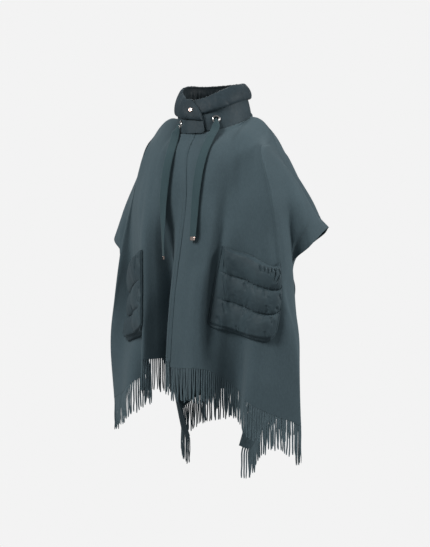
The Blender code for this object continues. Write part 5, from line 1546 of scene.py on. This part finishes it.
def pocket_padding(sideways, share, depth, creases):
    """How thick a pocket is at each point of its grid, and how full it is there from side to side.

    The padding is a crown across, times a rounded arch down each channel, less the creases and
    the groove along the sewn edge, with fine puckers along the quilting seams.
    """
    full, rounded = POCKET_FULL
    crown = (1.0 - np.abs(sideways) ** full) ** rounded
    rising = smooth_step((sideways + 1.0) / POCKET_RISES)
    crown = crown * (POCKET_THIN + (1.0 - POCKET_THIN) * rising)
    high, often, shift = SEAM_WAVES
    phase = POCKET_CHANNELS * depth + high * np.sin(often * share + shift) * np.sin(np.pi * depth)
    arch = np.abs(np.sin(np.pi * phase))
    swell = POCKET_SEAM + (1.0 - POCKET_SEAM) * arch ** CHANNEL_FULL
    ends = smooth_step(depth / MOUTH_ROUND + MOUTH_AT_EDGE)
    ends = ends * np.sqrt(smooth_step((1.0 - depth) / BOTTOM_ROUND))
    u, v = np.broadcast_arrays(share, depth)
    moved = np.zeros_like(u)
    for *line, wide, deep in creases:
        moved -= POCKET_CREASED * furrow(u, v, line, wide, deep, POCKET_FADES, POCKET_RIDGE)
    drift, slow = PUCKER_DRIFTS
    puckers = PUCKER_FINE_HIGH * np.sin(PUCKER_FINE * share + drift * np.sin(slow * share))
    puckers = puckers + PUCKER_BROAD_HIGH * np.sin(PUCKER_BROAD * share + PUCKER_SHIFT)
    moved = moved + puckers * bell(arch, 0.0, PUCKER_REACH) * crown
    from_side = 1.0 - np.abs(sideways)
    edge = smooth_step(from_side / SIDE_ROUND)
    moved = moved * edge * smooth_step(depth / MOUTH_SMOOTH) * MM
    flange = FLANGE_DEEP * np.maximum(bell(from_side, POCKET_FLANGE, FLANGE_WIDE),
                                      bell(1.0 - depth, FOOT_FLANGE, FOOT_WIDE))
    padding = np.maximum(POCKET_PUFF * crown * swell * ends + moved - flange, -FLANGE_DEEP)
    return POCKET_EDGE * (1.0 - SIDE_THIN * (1.0 - edge)) + padding, crown


def pocket(name, worn_panel, flip, spot, creases):
    """A padded patch pocket: a wall that lies on its front, moved out along the front's normals."""
    sideways, share, depth, across, down = pocket_places(spot)
    base, normal = read_front(worn_panel, flip, spot[0], across, down)
    over, crown = pocket_padding(sideways, share, depth, creases)
    mouth = (POCKET_MOUTH - POCKET_FLOOR) * crown * smooth_step(1.0 - depth * MOUTH_OPEN)
    under = POCKET_FLOOR + mouth
    made = closed_wall(name, base + normal * (under + over)[:, :, None],
                       base + normal * under[:, :, None], flip, NYLON_LOOK, "quilted nylon")
    return made


left_pocket = pocket("patch_pocket_left", worn_left, False, POCKET_LEFT, POCKET_CREASES_LEFT)
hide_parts("pocket_left")
right_pocket = pocket("patch_pocket_right", worn_right, True, POCKET_RIGHT, POCKET_CREASES_RIGHT)
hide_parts("pocket_right")

# ---------------------------------------------------------------- studio

FLOOR_HEIGHT = -1.45
STUDIO_SIZE = 14.0  # the radius of the round room
FLOOR_HALF = STUDIO_SIZE * 0.8  # half the side of the floor
ROOM_TURNS, ROOM_RINGS = 48, 24
PAPER = 0.896  # how light the room and the floor are
AIR, AMBIENT = (0.94, 0.97, 1.0, 1.0), 0.22  # the colour and the strength of the light all round
# Azimuth and elevation in degrees, distance and size in metres, watts
LAMPS = {"key light": (-20, 35, 3.4, 1.2, 63), "side light": (100, 24, 3.4, 1.2, 62),
         "back light": (215, 28, 3.6, 1.8, 30)}


def backdrop():
    """A plain pale floor in a pale round room, which the camera sees and which casts no light."""
    paper = glow("studio paper", PAPER)
    turn = np.linspace(0.0, 2 * np.pi, ROOM_TURNS, endpoint=False)
    lift = np.linspace(-np.pi / 2, np.pi / 2, ROOM_RINGS)
    x = np.outer(np.cos(lift), np.cos(turn))
    y = np.outer(np.cos(lift), np.sin(turn))
    z = np.outer(np.sin(lift), np.ones(len(turn)))
    room = np.stack([x, y, z], axis=2) * STUDIO_SIZE
    room_piece = add_piece("room", room, grid_faces(*room.shape[:2], closed=True).tolist(), paper, None)
    side = np.linspace(-FLOOR_HALF, FLOOR_HALF, 3)
    floor = np.stack([*np.meshgrid(side, side), np.full((3, 3), FLOOR_HEIGHT)], axis=2)
    floor_piece = add_piece("floor", floor, grid_faces(3, 3)[:, ::-1].tolist(), paper, None)
    for piece in (room_piece, floor_piece):
        piece.visible_diffuse = piece.visible_glossy = piece.visible_shadow = False


def lamp(name, azimuth, elevation, distance, size, power):
    """A square soft light that faces the middle of the garment."""
    light = bpy.data.lights.new(name, "AREA")
    light.energy, light.size = power, size
    made = bpy.data.objects.new(name, light)
    bpy.context.scene.collection.objects.link(made)
    a, e = math.radians(azimuth), math.radians(elevation)
    away = Vector((math.sin(a) * math.cos(e), -math.cos(a) * math.cos(e), math.sin(e)))
    made.location = away * distance + Vector((0.0, 0.0, VIEW_HEIGHT))
    made.rotation_euler = away.to_track_quat("Z", "Y").to_euler()


backdrop()
for name, settings in LAMPS.items():
    lamp(name, *settings)

world = bpy.data.worlds.new("studio air")
bpy.context.scene.world = world
world.use_nodes = True
world.node_tree.nodes["Background"].inputs["Color"].default_value = AIR
world.node_tree.nodes["Background"].inputs["Strength"].default_value = AMBIENT
bpy.context.scene.view_settings.view_transform = "Standard"
